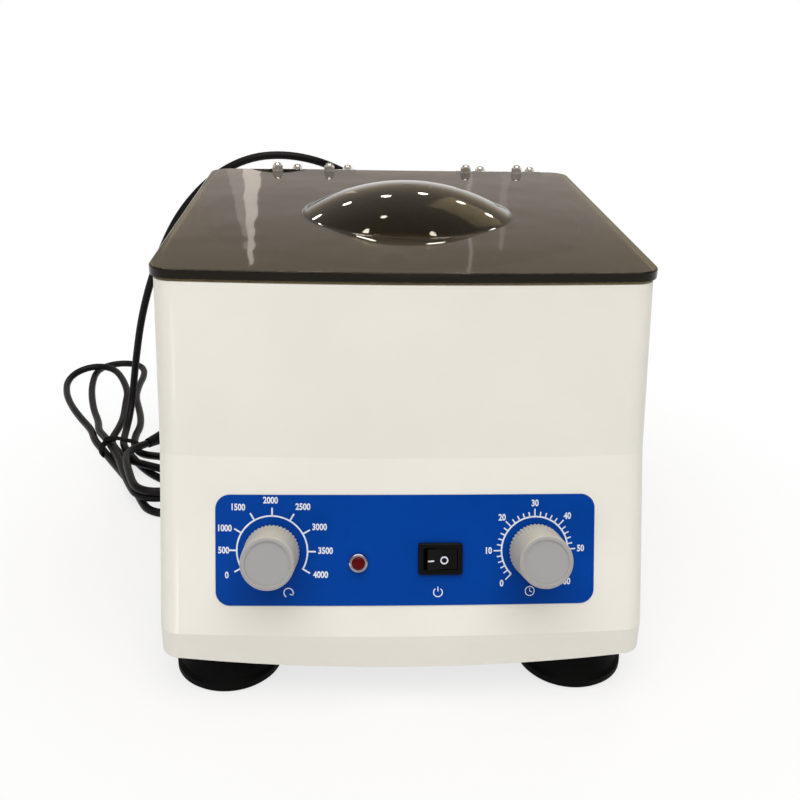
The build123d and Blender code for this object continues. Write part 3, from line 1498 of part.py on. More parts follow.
plug_origin = plug_foot + Vector(0, 0, plug_thickness / 2)
plug_plane = Plane(origin=plug_origin, x_dir=plug_across, z_dir=plug_direction)
with BuildPart() as mains_plug:
    with BuildSketch(plug_plane):
        Circle(plug_relief_radius)
    with BuildSketch(plug_plane.offset(plug_relief_length)):
        Circle(plug_relief_radius * 1.6)
    loft()
    with BuildSketch(plug_plane.offset(plug_relief_length)):
        RectangleRounded(plug_width * 0.6, plug_thickness * 0.8, plug_edge_round)
    with BuildSketch(plug_plane.offset(plug_relief_length + plug_length * 0.45)):
        RectangleRounded(plug_width, plug_thickness, plug_edge_round)
    loft()
    with BuildSketch(plug_plane.offset(plug_relief_length + plug_length * 0.45)):
        RectangleRounded(plug_width, plug_thickness, plug_edge_round)
    extrude(amount=plug_length * 0.55)
save(mains_plug.part, "mains_plug")

plug_face = plug_plane.offset(plug_relief_length + plug_length)
with BuildPart() as plug_blades:
    with BuildSketch(plug_face):
        with Locations((0, -ground_pin_drop / 2)):
            with GridLocations(blade_pitch, 0, 2, 1):
                Rectangle(blade_thickness, blade_width)
    extrude(amount=blade_length)
    with BuildSketch(plug_face):
        with Locations((0, ground_pin_drop)):
            Circle(ground_pin_radius)
    extrude(amount=ground_pin_length)
    fillet(plug_blades.faces().sort_by(Axis(plug_origin, plug_direction))[-1].edges(), radius=1.2)
save(plug_blades.part, "plug_blades")
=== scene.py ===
"""A butterfat bench centrifuge, dressed round its frame. Sizes are in metres unless a name ends in _mm."""

from math import cos, pi, radians, sin, sqrt

import bmesh
import bpy
from mathutils import Matrix, Vector


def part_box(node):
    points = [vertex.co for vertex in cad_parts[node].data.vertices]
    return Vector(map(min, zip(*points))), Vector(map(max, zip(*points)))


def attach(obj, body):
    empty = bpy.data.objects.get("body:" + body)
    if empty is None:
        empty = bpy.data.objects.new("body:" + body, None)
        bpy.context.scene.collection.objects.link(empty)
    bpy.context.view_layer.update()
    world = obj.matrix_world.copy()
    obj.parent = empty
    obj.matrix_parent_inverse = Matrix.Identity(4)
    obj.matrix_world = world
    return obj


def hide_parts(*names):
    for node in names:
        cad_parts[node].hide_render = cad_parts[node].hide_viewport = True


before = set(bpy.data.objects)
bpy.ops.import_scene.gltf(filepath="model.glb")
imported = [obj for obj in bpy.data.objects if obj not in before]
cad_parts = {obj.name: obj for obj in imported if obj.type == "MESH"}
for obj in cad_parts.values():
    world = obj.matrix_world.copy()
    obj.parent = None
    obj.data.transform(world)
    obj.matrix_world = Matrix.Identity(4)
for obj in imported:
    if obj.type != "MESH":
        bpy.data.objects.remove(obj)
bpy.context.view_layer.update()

bl_info = {
    "name": "Butterfat centrifuge",
    "version": (1, 0, 0),
    "blender": (4, 5, 0),
    "location": "View3D > Sidebar > Centrifuge",
    "description": "Finishes, printed scales, mains lead and studio for a bench centrifuge",
    "category": "Object",
}

MM = 0.001
RELIEF_LOW, RELIEF_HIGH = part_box("strain_relief")
SHELL_LOW, SHELL_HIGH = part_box("housing_shell")
REAR_WALL_Y = SHELL_HIGH.y
SIDE_WALL_X = SHELL_LOW.x


def linear(hex_colour, alpha=1.0):
    """Turns an sRGB hex colour into the linear values that the shaders take."""
    parts = [int(hex_colour[i : i + 2], 16) / 255 for i in (1, 3, 5)]
    return tuple(c / 12.92 if c <= 0.04045 else ((c + 0.055) / 1.055) ** 2.4 for c in parts) + (alpha,)


def colour(name, hex_colour, description):
    """A colour that a user may change."""
    return bpy.props.FloatVectorProperty(
        name=name, description=description, default=linear(hex_colour), size=4, min=0, max=1, subtype="COLOR"
    )


def length(name, mm, description):
    """A length that a user may change."""
    return bpy.props.FloatProperty(name=name, description=description, default=mm * MM, min=0, unit="LENGTH")


def angle(name, degrees, description):
    """An angle that a user may change."""
    return bpy.props.FloatProperty(
        name=name, description=description, default=radians(degrees), subtype="ANGLE"
    )


class CentrifugeColours(bpy.types.PropertyGroup):
    """Colours of the object's finishes."""

    enamel: colour("Enamel", "#ECEAE2", "Stoved enamel on the housing")
    acrylic: colour("Acrylic", "#6A5F43", "Tint of the smoked lid")
    label_blue: colour("Label blue", "#003F9A", "Ground of the front label")
    ink: colour("Ink", "#E4EBF7", "Printed scales and numbers")
    # The two knob colours paint light and shade: the skirts lighter and warmer as if lit from above, the flat
    # fronts darker and cooler as painted shade
    knob_grey: colour("Knob skirt (painted lit)", "#C0BBAB", "Fluted skirts of the knobs")
    knob_cap: colour("Knob front (painted shade)", "#A1A1A1", "Flat caps of the knobs")
    switch_black: colour("Switch black", "#09090A", "Switch frame and rocker")
    rubber: colour("Rubber", "#070707", "Feet, seal and cushions")
    cord_black: colour("Lead black", "#0D0B0D", "Sheath of the mains lead and its plug")
    lamp_red: colour("Lamp red", "#5C0206", "Lens of the pilot lamp")


class CentrifugeSizes(bpy.types.PropertyGroup):
    """Sizes of what is added to the frame."""

    slope: angle("Console slope", 21, "How far the console leans back")
    bow_radius: length("Console bow", 1683.0, "Radius of the console's bow at its middle height")
    console_y: length("Console depth", -155.953, "Console's middle, from the object's middle")
    console_z: length("Console height", 84.25, "Console's middle above the table")
    ink_lift: length("Ink lift", 0.44, "Printed ink above the enamel, which is just clear of the film")
    dial_x: length("Dial offset", 69.0, "A dial's middle from the middle of the console")
    dial_v: length("Dial drop", -3.0, "A dial's middle up the slope from the console's middle")
    speed_ring: length("Speed ring", 18.4, "Radius of the speed scale's ring")
    time_ring: length("Time ring", 17.6, "Radius of the time scale's ring")
    ink_line: length("Ink line", 0.85, "Width of a printed line")
    cord_diameter: length("Lead diameter", 6.0, "Mains lead across its sheath")


def settings():
    """The two groups of user settings."""
    return bpy.context.scene.centrifuge_colours, bpy.context.scene.centrifuge_sizes


def add(tree, kind, inputs=None, links=None, **options):
    """Adds one node: options are its own settings, inputs its socket values, links what feeds its sockets."""
    node = tree.nodes.new(kind)
    for key, value in options.items():
        setattr(node, key, value)
    for key, value in (inputs or {}).items():
        node.inputs[key].default_value = value
    for key, socket in (links or {}).items():
        tree.links.new(socket, node.inputs[key])
    return node


def start(name, inputs):
    """A new material with its shader's plain values set, and its coordinates."""
    material = bpy.data.materials.new(name)
    material.use_nodes = True
    tree = material.node_tree
    shader = tree.nodes["Principled BSDF"]
    for key, value in inputs.items():
        shader.inputs[key].default_value = value
    place = add(tree, "ShaderNodeTexCoord").outputs["Object"]
    return material, tree, shader, place


def shade(rgba, factor):
    """The same colour, darker or lighter."""
    return tuple(min(1.0, c * factor) for c in rgba[:3]) + (1.0,)


def tones(rgba, low, high):
    """Two tones of one colour."""
    return shade(rgba, low), shade(rgba, high)


def tint(tree, shader, amount, pair, first=0.0, last=1.0):
    """Colours the shader from the pair's first tone to its second, as amount goes from first to last."""
    ramp = add(tree, "ShaderNodeValToRGB", links={"Fac": amount})
    for element, position, tone in zip(ramp.color_ramp.elements, (first, last), pair):
        element.position = position
        element.color = tone
    tree.links.new(ramp.outputs["Color"], shader.inputs["Base Color"])


def mottle(tree, shader, place, pair, size_mm, detail=3.0):
    """Clouds the shader's colour between two tones, in patches of about size_mm. Returns the clouds."""
    values = {"Scale": 1 / (size_mm * MM), "Detail": detail}
    clouds = add(tree, "ShaderNodeTexNoise", values, {"Vector": place}).outputs["Fac"]
    tint(tree, shader, clouds, pair, 0.3, 0.7)
    return clouds


def bands(spacing_mm):
    """The scale that gives a wave texture's bands their spacing."""
    return pi / 10 / (spacing_mm * MM)


def surface(tree, shader, bumps, depth_mm, shine=None, rough=()):
    """Raises the surface by bumps, over depth_mm, and varies its roughness between two values with shine."""
    bump = add(tree, "ShaderNodeBump", {"Distance": depth_mm * MM, "Strength": 1.0}, {"Height": bumps})
    tree.links.new(bump.outputs["Normal"], shader.inputs["Normal"])
    if rough:
        low, high = rough
        spread = add(tree, "ShaderNodeMapRange", {"To Min": low, "To Max": high}, {"Value": shine})
        tree.links.new(spread.outputs["Result"], shader.inputs["Roughness"])


def skinned(name, inputs, pair, cloud_mm, grain_mm, depth_mm, rough, cloud_detail=3.0, grain_detail=2.0):
    """A material clouded between two tones, with a fine raised skin, whose shine follows the clouds."""
    material, tree, shader, place = start(name, inputs)
    cloud = mottle(tree, shader, place, pair, cloud_mm, cloud_detail)
    grain = add(
        tree, "ShaderNodeTexNoise", {"Scale": 1 / (grain_mm * MM), "Detail": grain_detail}, {"Vector": place}
    )
    surface(tree, shader, grain.outputs["Fac"], depth_mm, shine=cloud, rough=rough)
    return material


def recolour(material, mask, rgba):
    """Lays a second, even colour over the first where mask is 1."""
    tree = material.node_tree
    shader = tree.nodes["Principled BSDF"]
    first = shader.inputs["Base Color"].links[0].from_socket
    blend = add(tree, "ShaderNodeMix", {"B": rgba}, {"Factor": mask, "A": first}, data_type="RGBA")
    tree.links.new(blend.outputs["Result"], shader.inputs["Base Color"])


def stoved_enamel(rgba):
    """Sheet steel sprayed and stoved: a warm white, smooth film with orange peel about 1.5 mm across."""
    gloss = {"IOR": 1.5, "Specular IOR Level": 0.35, "Coat Weight": 0.1, "Coat Roughness": 0.12}
    return skinned(
        "stoved enamel", gloss, tones(rgba, 0.965, 1.0), cloud_mm=60, grain_mm=1.5, depth_mm=0.012,
        rough=(0.3, 0.42),
    )


def smoked_acrylic(rgba):
    """Cast acrylic sheet, drawn hot into its dome: glossy brown-grey glass with faint handling marks."""
    glass = {"IOR": 1.49, "Transmission Weight": 0.97, "Specular Tint": linear("#BCB2A2")}
    material = skinned(
        "smoked acrylic", glass, tones(rgba, 0.9, 1.05), cloud_mm=35, grain_mm=45, depth_mm=0.25,
        rough=(0.02, 0.06), cloud_detail=5.0, grain_detail=1.0,
    )
    # Through its sawn edge the eye looks along the sheet, where so much tint lies that it turns almost black
    tree = material.node_tree
    normal = tree.nodes["Texture Coordinate"].outputs["Normal"]
    facing = add(tree, "ShaderNodeSeparateXYZ", links={"Vector": normal})
    level = add(tree, "ShaderNodeMath", links={0: facing.outputs["Z"]}, operation="ABSOLUTE")
    edge = add(
        tree, "ShaderNodeMapRange", {"From Min": 0.15, "From Max": 0.5, "To Min": 1.0, "To Max": 0.0},
        {"Value": level.outputs[0]},
    )
    recolour(material, edge.outputs["Result"], shade(rgba, 0.04))
    return material


def printed_film(rgba):
    """Polyester film printed on its back: deep even blue under a satin skin with a fine leather texture."""
    material, tree, shader, place = start("printed polyester film", {"IOR": 1.6, "Specular IOR Level": 0.05})
    mottle(tree, shader, place, tones(rgba, 0.94, 1.04), 25)
    skin = add(tree, "ShaderNodeTexNoise", {"Scale": 1 / (0.5 * MM), "Detail": 2.0}, {"Vector": place})
    surface(tree, shader, skin.outputs["Fac"], 0.01, shine=skin.outputs["Fac"], rough=(0.28, 0.4))
    return material


def screen_ink(rgba):
    """Screen-printed white ink: flat and chalky, thinner in places so the film shows through a little."""
    material, tree, shader, place = start("screen-printed ink", {"Roughness": 0.5})
    mottle(tree, shader, place, tones(rgba, 0.86, 1.0), 2.0)
    return material


def moulded_abs(rgba, name="moulded ABS", grain_mm=0.35, depth_mm=0.02, rough=0.42, shine=0.3):
    """Injection-moulded ABS: satin, with the tool's fine spark-eroded grain."""
    return skinned(
        name, {"IOR": 1.54, "Specular IOR Level": shine}, tones(rgba, 0.95, 1.02), cloud_mm=9,
        grain_mm=grain_mm, depth_mm=depth_mm, rough=(rough - 0.06, rough + 0.08),
    )


def capped_knob(lit_skirt, shaded_front):
    """A knob moulded in grey ABS, with painted light and shade: its skirts a lighter, warmer grey as if lit
    from above, and its flat front a darker, cooler grey as painted shade.
    """
    material = moulded_abs(lit_skirt, "moulded ABS with painted light and shade")
    tree = material.node_tree
    normal = tree.nodes["Texture Coordinate"].outputs["Normal"]
    facing = add(tree, "ShaderNodeVectorMath", {1: console_normal()}, {0: normal}, operation="DOT_PRODUCT")
    front = add(
        tree, "ShaderNodeMapRange", {"From Min": 0.6, "From Max": 0.8}, {"Value": facing.outputs["Value"]}
    )
    # Painted shade: faces turned out along the console take the darker, cooler grey, and the skirts keep the
    # lighter, painted-lit grey
    recolour(material, front.outputs["Result"], shaded_front)
    return material


def satin_nylon(rgba):
    """Moulded nylon: the switch frame's dense black, with a fine grain that keeps its shine low."""
    return moulded_abs(rgba, "moulded nylon", grain_mm=0.4, depth_mm=0.015, rough=0.38, shine=0.08)


def polished_nylon(rgba):
    """Nylon from a polished tool: the rocker's smoother black, which finger oil keeps glossy."""
    return moulded_abs(rgba, "polished nylon", grain_mm=0.6, depth_mm=0.004, rough=0.22, shine=0.1)


def moulded_phenolic():
    """Phenolic resin pressed hot: hard, near-black and faintly grained."""
    return moulded_abs(linear("#1A1A1B"), "moulded phenolic", grain_mm=0.5, depth_mm=0.015, rough=0.35)


def shrunk_sleeve():
    """Plastic sleeve shrunk over capacitors and coils: taut, dark slate blue and half glossy."""
    return moulded_abs(linear("#2B3442"), "shrunk sleeve", grain_mm=0.8, depth_mm=0.01, rough=0.35)


def moulded_rubber(rgba, name="moulded rubber"):
    """Pressed rubber: matt black that greys slightly with bloom, and pitted at about 1 mm."""
    matt = {"IOR": 1.52, "Specular IOR Level": 0.05}
    return skinned(
        name, matt, tones(rgba, 0.7, 1.5), cloud_mm=12, grain_mm=1.0, depth_mm=0.05, rough=(0.5, 0.75),
        cloud_detail=4.0, grain_detail=4.0,
    )


def extruded_pvc(rgba):
    """PVC sheath drawn over the cores: soft black with a low shine and a slight orange-skin."""
    soft = {"IOR": 1.53, "Specular IOR Level": 0.12}
    return skinned(
        "extruded PVC", soft, tones(rgba, 0.8, 1.35), cloud_mm=14, grain_mm=0.7, depth_mm=0.03,
        rough=(0.34, 0.5),
    )


def bare_metal(name, hex_low, hex_high, rough, grain_mm, depth_mm, stretch=(1, 1, 1)):
    """A metal surface whose grain is grain_mm across, longer along the axes that stretch makes small."""
    material, tree, shader, place = start(name, {"Metallic": 1.0})
    lay = add(tree, "ShaderNodeMapping", {"Scale": stretch}, {"Vector": place}).outputs["Vector"]
    grain = add(tree, "ShaderNodeTexNoise", {"Scale": 1 / (grain_mm * MM), "Detail": 3.0}, {"Vector": lay})
    mottle(tree, shader, place, (linear(hex_low), linear(hex_high)), 6, 4.0)
    spread = (rough - 0.06, rough + 0.1)
    surface(tree, shader, grain.outputs["Fac"], depth_mm, shine=grain.outputs["Fac"], rough=spread)
    return material


def nickel_plate():
    """Bright nickel over brass: mirror-like and slightly warm, with fine polishing haze."""
    return bare_metal("nickel plate", "#C9C6BF", "#E2E0DA", rough=0.16, grain_mm=0.6, depth_mm=0.002)


def chrome_plate():
    """Chrome on the lamp's bezel: a cool, darkish mirror with hardly any haze."""
    return bare_metal("chrome plate", "#8C8790", "#A7A3AB", rough=0.14, grain_mm=0.6, depth_mm=0.002)


def zinc_plate():
    """Bright zinc on steel: pale, a little blue, spangled at a few millimetres."""
    return bare_metal("zinc plate", "#A9ADB1", "#CFD2D4", rough=0.32, grain_mm=2.5, depth_mm=0.004)


def spun_stainless():
    """Stainless sheet spun on a lathe: fine rings drawn out level round the bowl."""
    return bare_metal(
        "spun stainless steel", "#B4B3B1", "#CBCAC8", rough=0.28, grain_mm=0.5, depth_mm=0.006,
        stretch=(0.08, 0.08, 1),
    )


def cast_aluminium():
    """Aluminium cast in sand, then machined where it matters: pale grey and softly grained."""
    return bare_metal("cast aluminium", "#A6A8A9", "#C4C6C7", rough=0.42, grain_mm=1.2, depth_mm=0.03)


def anodised_aluminium():
    """Drawn tube, satin anodised: even silver-grey with a fine grain along it."""
    return bare_metal("anodised aluminium", "#B9BBBC", "#CDCFCF", rough=0.3, grain_mm=0.4, depth_mm=0.004)


def black_anodised():
    """Extruded aluminium, anodised black: even charcoal with a soft metallic sheen."""
    return bare_metal(
        "black anodised aluminium", "#1C1D1F", "#2A2B2D", rough=0.4, grain_mm=0.5, depth_mm=0.003
    )


def turned_steel():
    """Ground steel bar: bright, with hairline rings."""
    return bare_metal(
        "turned steel", "#B2B2B0", "#CACAC8", rough=0.2, grain_mm=0.3, depth_mm=0.003, stretch=(0.2, 0.2, 1)
    )


def brass_terminal():
    """Drawn brass, dulled a little by handling."""
    return bare_metal("drawn brass", "#B89A52", "#D2B56A", rough=0.3, grain_mm=0.8, depth_mm=0.003)


def satin_paint():
    """Satin black paint on the motor's pressed steel can."""
    pair = linear("#17181A"), linear("#222427")
    return skinned(
        "satin paint", {"IOR": 1.5}, pair, cloud_mm=10, grain_mm=0.8, depth_mm=0.015, rough=(0.35, 0.5)
    )


def varnished_winding():
    """Copper wire wound on iron and dipped in varnish: amber-brown strands about 0.6 mm thick."""
    material, tree, shader, place = start("varnished copper winding", {"Metallic": 0.6, "Coat Weight": 0.5})
    strands = add(
        tree, "ShaderNodeTexWave", {"Scale": bands(0.6), "Distortion": 1.2, "Detail": 2.0}, {"Vector": place},
        bands_direction="DIAGONAL",
    ).outputs["Fac"]
    tint(tree, shader, strands, (linear("#4A2412"), linear("#B5652F")))
    surface(tree, shader, strands, 0.2, shine=strands, rough=(0.3, 0.45))
    return material


def pressed_ferrite():
    """Sintered ferrite: dull charcoal with a chalky bloom."""
    material, tree, shader, place = start("sintered ferrite", {"IOR": 1.6})
    cloud = mottle(tree, shader, place, (linear("#2B2B2C"), linear("#3F3E3D")), 4, 4.0)
    surface(tree, shader, cloud, 0.05, shine=cloud, rough=(0.6, 0.8))
    return material


def epoxy_laminate():
    """Glass-epoxy board under green resist: tracks about 2 mm wide show through as lighter green."""
    material, tree, shader, place = start("glass-epoxy laminate", {"IOR": 1.55, "Roughness": 0.35})
    cells = add(
        tree, "ShaderNodeTexBrick",
        {"Color1": linear("#0F4A26"), "Color2": linear("#0C3D20"), "Mortar": linear("#2C7A44"),
         "Scale": 1 / (6 * MM), "Mortar Size": 0.03, "Brick Width": 0.8, "Row Height": 0.4},
        {"Vector": place}, offset=0.37, squash=1.4,
    )
    tree.links.new(cells.outputs["Color"], shader.inputs["Base Color"])
    surface(tree, shader, cells.outputs["Fac"], 0.05)
    return material


def clear_red_lens(rgba):
    """Injection-moulded red acrylic: a deep glossy red that light gathers in, over small moulded facets."""
    glass = {"IOR": 1.49, "Transmission Weight": 0.1, "Specular IOR Level": 0.06}
    material, tree, shader, place = start("moulded red acrylic", glass)
    mottle(tree, shader, place, tones(rgba, 0.75, 1.25), 2.2)
    cells = add(tree, "ShaderNodeTexVoronoi", {"Scale": 1 / (1.3 * MM)}, {"Vector": place})
    facets = cells.outputs["Distance"]
    surface(tree, shader, facets, 0.06, shine=facets, rough=(0.08, 0.2))
    return material


def woven_hook_tape(rgba):
    """Nylon hook-and-loop tape: matt black pile in rows about 1.2 mm apart."""
    material, tree, shader, place = start("woven hook tape", {"Specular IOR Level": 0.1, "Roughness": 0.85})
    rows = add(
        tree, "ShaderNodeTexWave", {"Scale": bands(1.2), "Distortion": 2.0}, {"Vector": place},
        bands_direction="Z",
    ).outputs["Fac"]
    tint(tree, shader, rows, tones(rgba, 0.7, 1.6))
    surface(tree, shader, rows, 0.3)
    return material


def finish(nodes, material):
    """Gives CAD nodes their finish."""
    for name in nodes:
        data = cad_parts[name].data
        data.materials.clear()
        data.materials.append(material)


def seat_piece(obj, material, body):
    """Gives a new piece its finish, and lets it ride on its body."""
    obj.data.materials.append(material)
    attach(obj, body)
    return obj


def new_object(name, data):
    """A new object in the scene."""
    obj = bpy.data.objects.new(name, data)
    bpy.context.scene.collection.objects.link(obj)
    return obj


def console_point(x, v, lift):
    """A point on the console, x across from its middle, v up its slope and lift clear of the bowed enamel."""
    _, sizes = settings()
    bow = sizes.bow_radius - sqrt(sizes.bow_radius**2 - x**2)
    y = sizes.console_y + v * sin(sizes.slope) + bow - lift * cos(sizes.slope)
    z = sizes.console_z + v * cos(sizes.slope) + lift * sin(sizes.slope)
    return Vector((x, y, z))


def console_normal():
    """The direction straight out of the console's middle."""
    _, sizes = settings()
    return Vector((0, -cos(sizes.slope), sin(sizes.slope)))


# Where the speed numbers stand on the console, across and up its slope. The upper ones crowd inward, and
# those at the left hug the label's edge.
SPEED_NUMBERS_MM = (
    (-92.6, -16.2), (-94.2, -3.2), (-93.8, 8.4), (-86.8, 19.5), (-69.8, 23.4), (-53.0, 20.3), (-44.4, 9.8),
    (-41.3, -2.6), (-43.8, -15.2),
)


class InkSheet:
    """Flat printed shapes, drawn across x and up v, and then laid on a surface."""

    def __init__(self):
        self.mesh = bmesh.new()

    def strip(self, points, width):
        """A line of even width through the points."""
        rims = []
        for i, point in enumerate(points):
            before = points[max(i - 1, 0)]
            after = points[min(i + 1, len(points) - 1)]
            along = (Vector(after) - Vector(before)).normalized()
            side = Vector((-along.y, along.x)) * width / 2
            rims.append([self.mesh.verts.new((*(Vector(point) + s * side), 0)) for s in (1, -1)])
        for (a, b), (c, d) in zip(rims, rims[1:]):
            self.mesh.faces.new((a, b, d, c))

    def arc(self, centre, radius, first, last, width, steps=64):
        """An arc whose angles are clockwise from straight up the slope."""
        turns = [first + (last - first) * i / steps for i in range(steps + 1)]
        self.strip([(centre[0] + radius * sin(t), centre[1] + radius * cos(t)) for t in turns], width)

    def tick(self, centre, turn, inner, outer, width):
        """A radial line at one angle."""
        ends = [(centre[0] + r * sin(turn), centre[1] + r * cos(turn)) for r in (inner, outer)]
        self.strip(ends, width)

    def number(self, value, at, height=3.3 * MM, squeeze=0.82):
        """A plain, narrow number centred at a place."""
        curve = bpy.data.curves.new("figure", "FONT")
        curve.body = str(value)
        curve.size = height / 0.7  # a figure stands 0.7 of the type's size
        curve.align_x = "CENTER"
        curve.align_y = "CENTER"
        curve.offset = height * 0.045  # and is printed a little bold
        curve.resolution_u = 4
        maker = new_object("figure", curve)
        outline = bpy.data.meshes.new_from_object(maker)
        outline.transform(Matrix.Translation((at[0], at[1], 0)) @ Matrix.Diagonal((squeeze, 1, 1, 1)))
        self.mesh.from_mesh(outline)
        bpy.data.objects.remove(maker)
        bpy.data.curves.remove(curve)
        bpy.data.meshes.remove(outline)

    def lay(self, name, place):
        """Makes the object, with each point moved by place."""
        for vertex in self.mesh.verts:
            vertex.co = place(vertex.co.x, vertex.co.y)
        data = bpy.data.meshes.new(name)
        self.mesh.to_mesh(data)
        self.mesh.free()
        return new_object(name, data)


class CENTRIFUGE_OT_camera(bpy.types.Operator):
    """Sets the camera a little left of the middle, looking down on the lid"""

    bl_idname = "centrifuge.camera"
    bl_label = "Camera"

    place: bpy.props.FloatVectorProperty(
        name="Place", description="Where the camera stands, in metres", default=(-0.02659, -0.60355, 0.36272),
        subtype="XYZ",
    )
    yaw: angle("Yaw", -2.872, "Turn about the upright")
    dip: angle("Dip", 23.544, "How far it looks down")
    roll: angle("Roll", -1.251, "Turn about its own axis")
    lens: bpy.props.FloatProperty(name="Lens", description="Focal length in millimetres", default=45.0)

    def execute(self, context):
        data = bpy.data.cameras.new("camera")
        data.sensor_width = 36
        data.lens = self.lens
        data.clip_start = 0.01
        camera = new_object("camera", data)
        across = Vector((cos(self.yaw), sin(self.yaw), 0))
        ahead = Vector((-sin(self.yaw) * cos(self.dip), cos(self.yaw) * cos(self.dip), -sin(self.dip)))
        upward = Vector((-sin(self.yaw) * sin(self.dip), cos(self.yaw) * sin(self.dip), cos(self.dip)))
        right = across * cos(self.roll) - upward * sin(self.roll)
        top = across * sin(self.roll) + upward * cos(self.roll)
        turn = Matrix((right, top, -ahead)).transposed()
        camera.matrix_world = Matrix.Translation(self.place) @ turn.to_4x4()
        context.scene.camera = camera
        return {"FINISHED"}


HANK_MIDDLE = Vector((SIDE_WALL_X - 83.3 * MM, REAR_WALL_Y - 49.71 * MM))
HANK_ALONG = Vector((-0.5, 0.866))
HANK_ACROSS = Vector((0.866, 0.5))


def hank_point(along_mm, across_mm, height_mm):
    """A point of the hank, from the middle of its tie: along it, and across it towards the housing."""
    spot = HANK_MIDDLE + HANK_ALONG * along_mm * MM + HANK_ACROSS * across_mm * MM
    return Vector((spot.x, spot.y, height_mm * MM))


def hank_fold(along_mm, across_mm, radius_mm, height_mm, first, last, steps):
    """The near fold of one turn of the hank."""
    turns = [radians(first + (last - first) * i / (steps - 1)) for i in range(steps)]
    return [
        hank_point(along_mm - radius_mm * sin(t), across_mm + radius_mm * cos(t), height_mm) for t in turns
    ]


def wall_points(points_mm):
    """Points given from the housing's rear left corner, in millimetres."""
    return [Vector((SIDE_WALL_X + x * MM, REAR_WALL_Y + y * MM, z * MM)) for x, y, z in points_mm]


def lead_points():
    """The mains lead: out of its relief, over behind the lid, down to the table, and through the hank."""
    gland = Vector(((RELIEF_LOW.x + RELIEF_HIGH.x) / 2, RELIEF_HIGH.y, (RELIEF_LOW.z + RELIEF_HIGH.z) / 2))
    climb = [
        (0, 0, 0), (0, 14, 0), (-2.5, 28, 2.5), (-10.5, 39, 10.5), (-22, 43.5, 22), (-34, 41.5, 33),
        (-46, 33, 43), (-60, 17, 55), (-76, 1, 66), (-96, -11, 76.5), (-120, -14, 81), (-144, -14, 79),
    ]
    points = [gland + Vector(p) * MM for p in climb]
    # beside the left wall, down to the table
    points += wall_points([
        (2, 7, 215.5), (-18, 7, 199.5), (-36, 6, 178), (-49.5, 5, 152.5), (-61.5, 5, 123.5), (-71.5, 8, 91.5),
        (-78.5, 12, 60), (-82.5, 14, 39), (-84.8, 10.5, 21.5), (-86.2, -0.5, 8.8), (-86.5, -16, 3),
        (-84.9, -33, 3),
    ])
    # the first turn: through the tie, round its near fold and back, and then its far loop
    points += [hank_point(*p) for p in (
        (2, 3.2, 3), (-26, 3.6, 3), (-46, 5.4, 3), (-60, 9, 3), (-71, 14, 3), (-80, 19, 3),
    )]
    points += hank_fold(
        along_mm=-97, across_mm=6, radius_mm=20.5, height_mm=3, first=-28, last=192, steps=10
    )
    points += [hank_point(*p) for p in (
        (-79, -12.8, 3), (-61, -11.6, 3), (-38, -11.8, 3), (-12, -12.4, 3), (8, -12.4, 3), (27, -13, 3),
    )]
    points += wall_points([
        (-115, -13, 3), (-129, 9, 3), (-142, 32, 3), (-152.5, 55, 3), (-158.5, 74, 3.2), (-161.1, 88.8, 4),
        (-159, 100.6, 6), (-152.2, 109.3, 8), (-142, 113.4, 9.4), (-131.2, 111.8, 9.8), (-122.3, 105.4, 9.8),
        (-115, 94.6, 9.8), (-106.5, 76.5, 9.2), (-98.7, 53.8, 8), (-97.5, 37, 5), (-94.5, 15, 3),
        (-93.5, -7, 3),
    ])
    # the second turn
    points += [hank_point(*p) for p in (
        (20, -2.4, 3), (0, -3.2, 3), (-20, -3, 4.6), (-36, -0.6, 8.4), (-47, 3.8, 9.6), (-58, 11, 9.7),
        (-67.6, 17.3, 9.7),
    )]
    points += hank_fold(
        along_mm=-83, across_mm=3, radius_mm=20.5, height_mm=9.6, first=-20, last=192, steps=10
    )
    points += [hank_point(*p) for p in (
        (-63, -15.6, 9.6), (-46, -13.2, 9.6), (-24, -9.4, 9.4), (-2, -8, 9.4), (18, -6.8, 8.6),
        (36, -6.6, 6.6),
    )]
    points += wall_points([
        (-112.5, 1, 4.2), (-122, 25, 3), (-130, 51, 3), (-136, 75, 3), (-139.5, 96, 3), (-141, 112.8, 3),
        (-138.7, 125.6, 3), (-131.7, 134.3, 3), (-121.2, 138.4, 3), (-110.2, 136.6, 3), (-101.5, 129.6, 3),
        (-96.6, 118, 3), (-94.6, 102.2, 3), (-95, 83.2, 3), (-92.5, 56, 3), (-85.5, 33, 3), (-79.5, 12, 3),
        (-76.3, -7, 3),
    ])
    # the third near fold, and from there across the hank to the plug
    points += [hank_point(*p) for p in (
        (20, 18.6, 3), (3, 11.6, 3), (-14, 10.2, 3.6), (-30, 12.6, 7.8), (-45, 17, 12.4), (-58, 20.6, 15.4),
        (-70, 22.8, 16),
    )]
    points += hank_fold(
        along_mm=-86, across_mm=3, radius_mm=20.5, height_mm=16, first=-6, last=190, steps=9
    )
    points += [hank_point(*p) for p in (
        (-70, -15, 15.9), (-52, -11.4, 15.6), (-36, -7, 14.2), (-26, -1, 12.8), (-19.5, 6.5, 11.9),
        (-13.2, 18.1, 10),
    )]
    return points


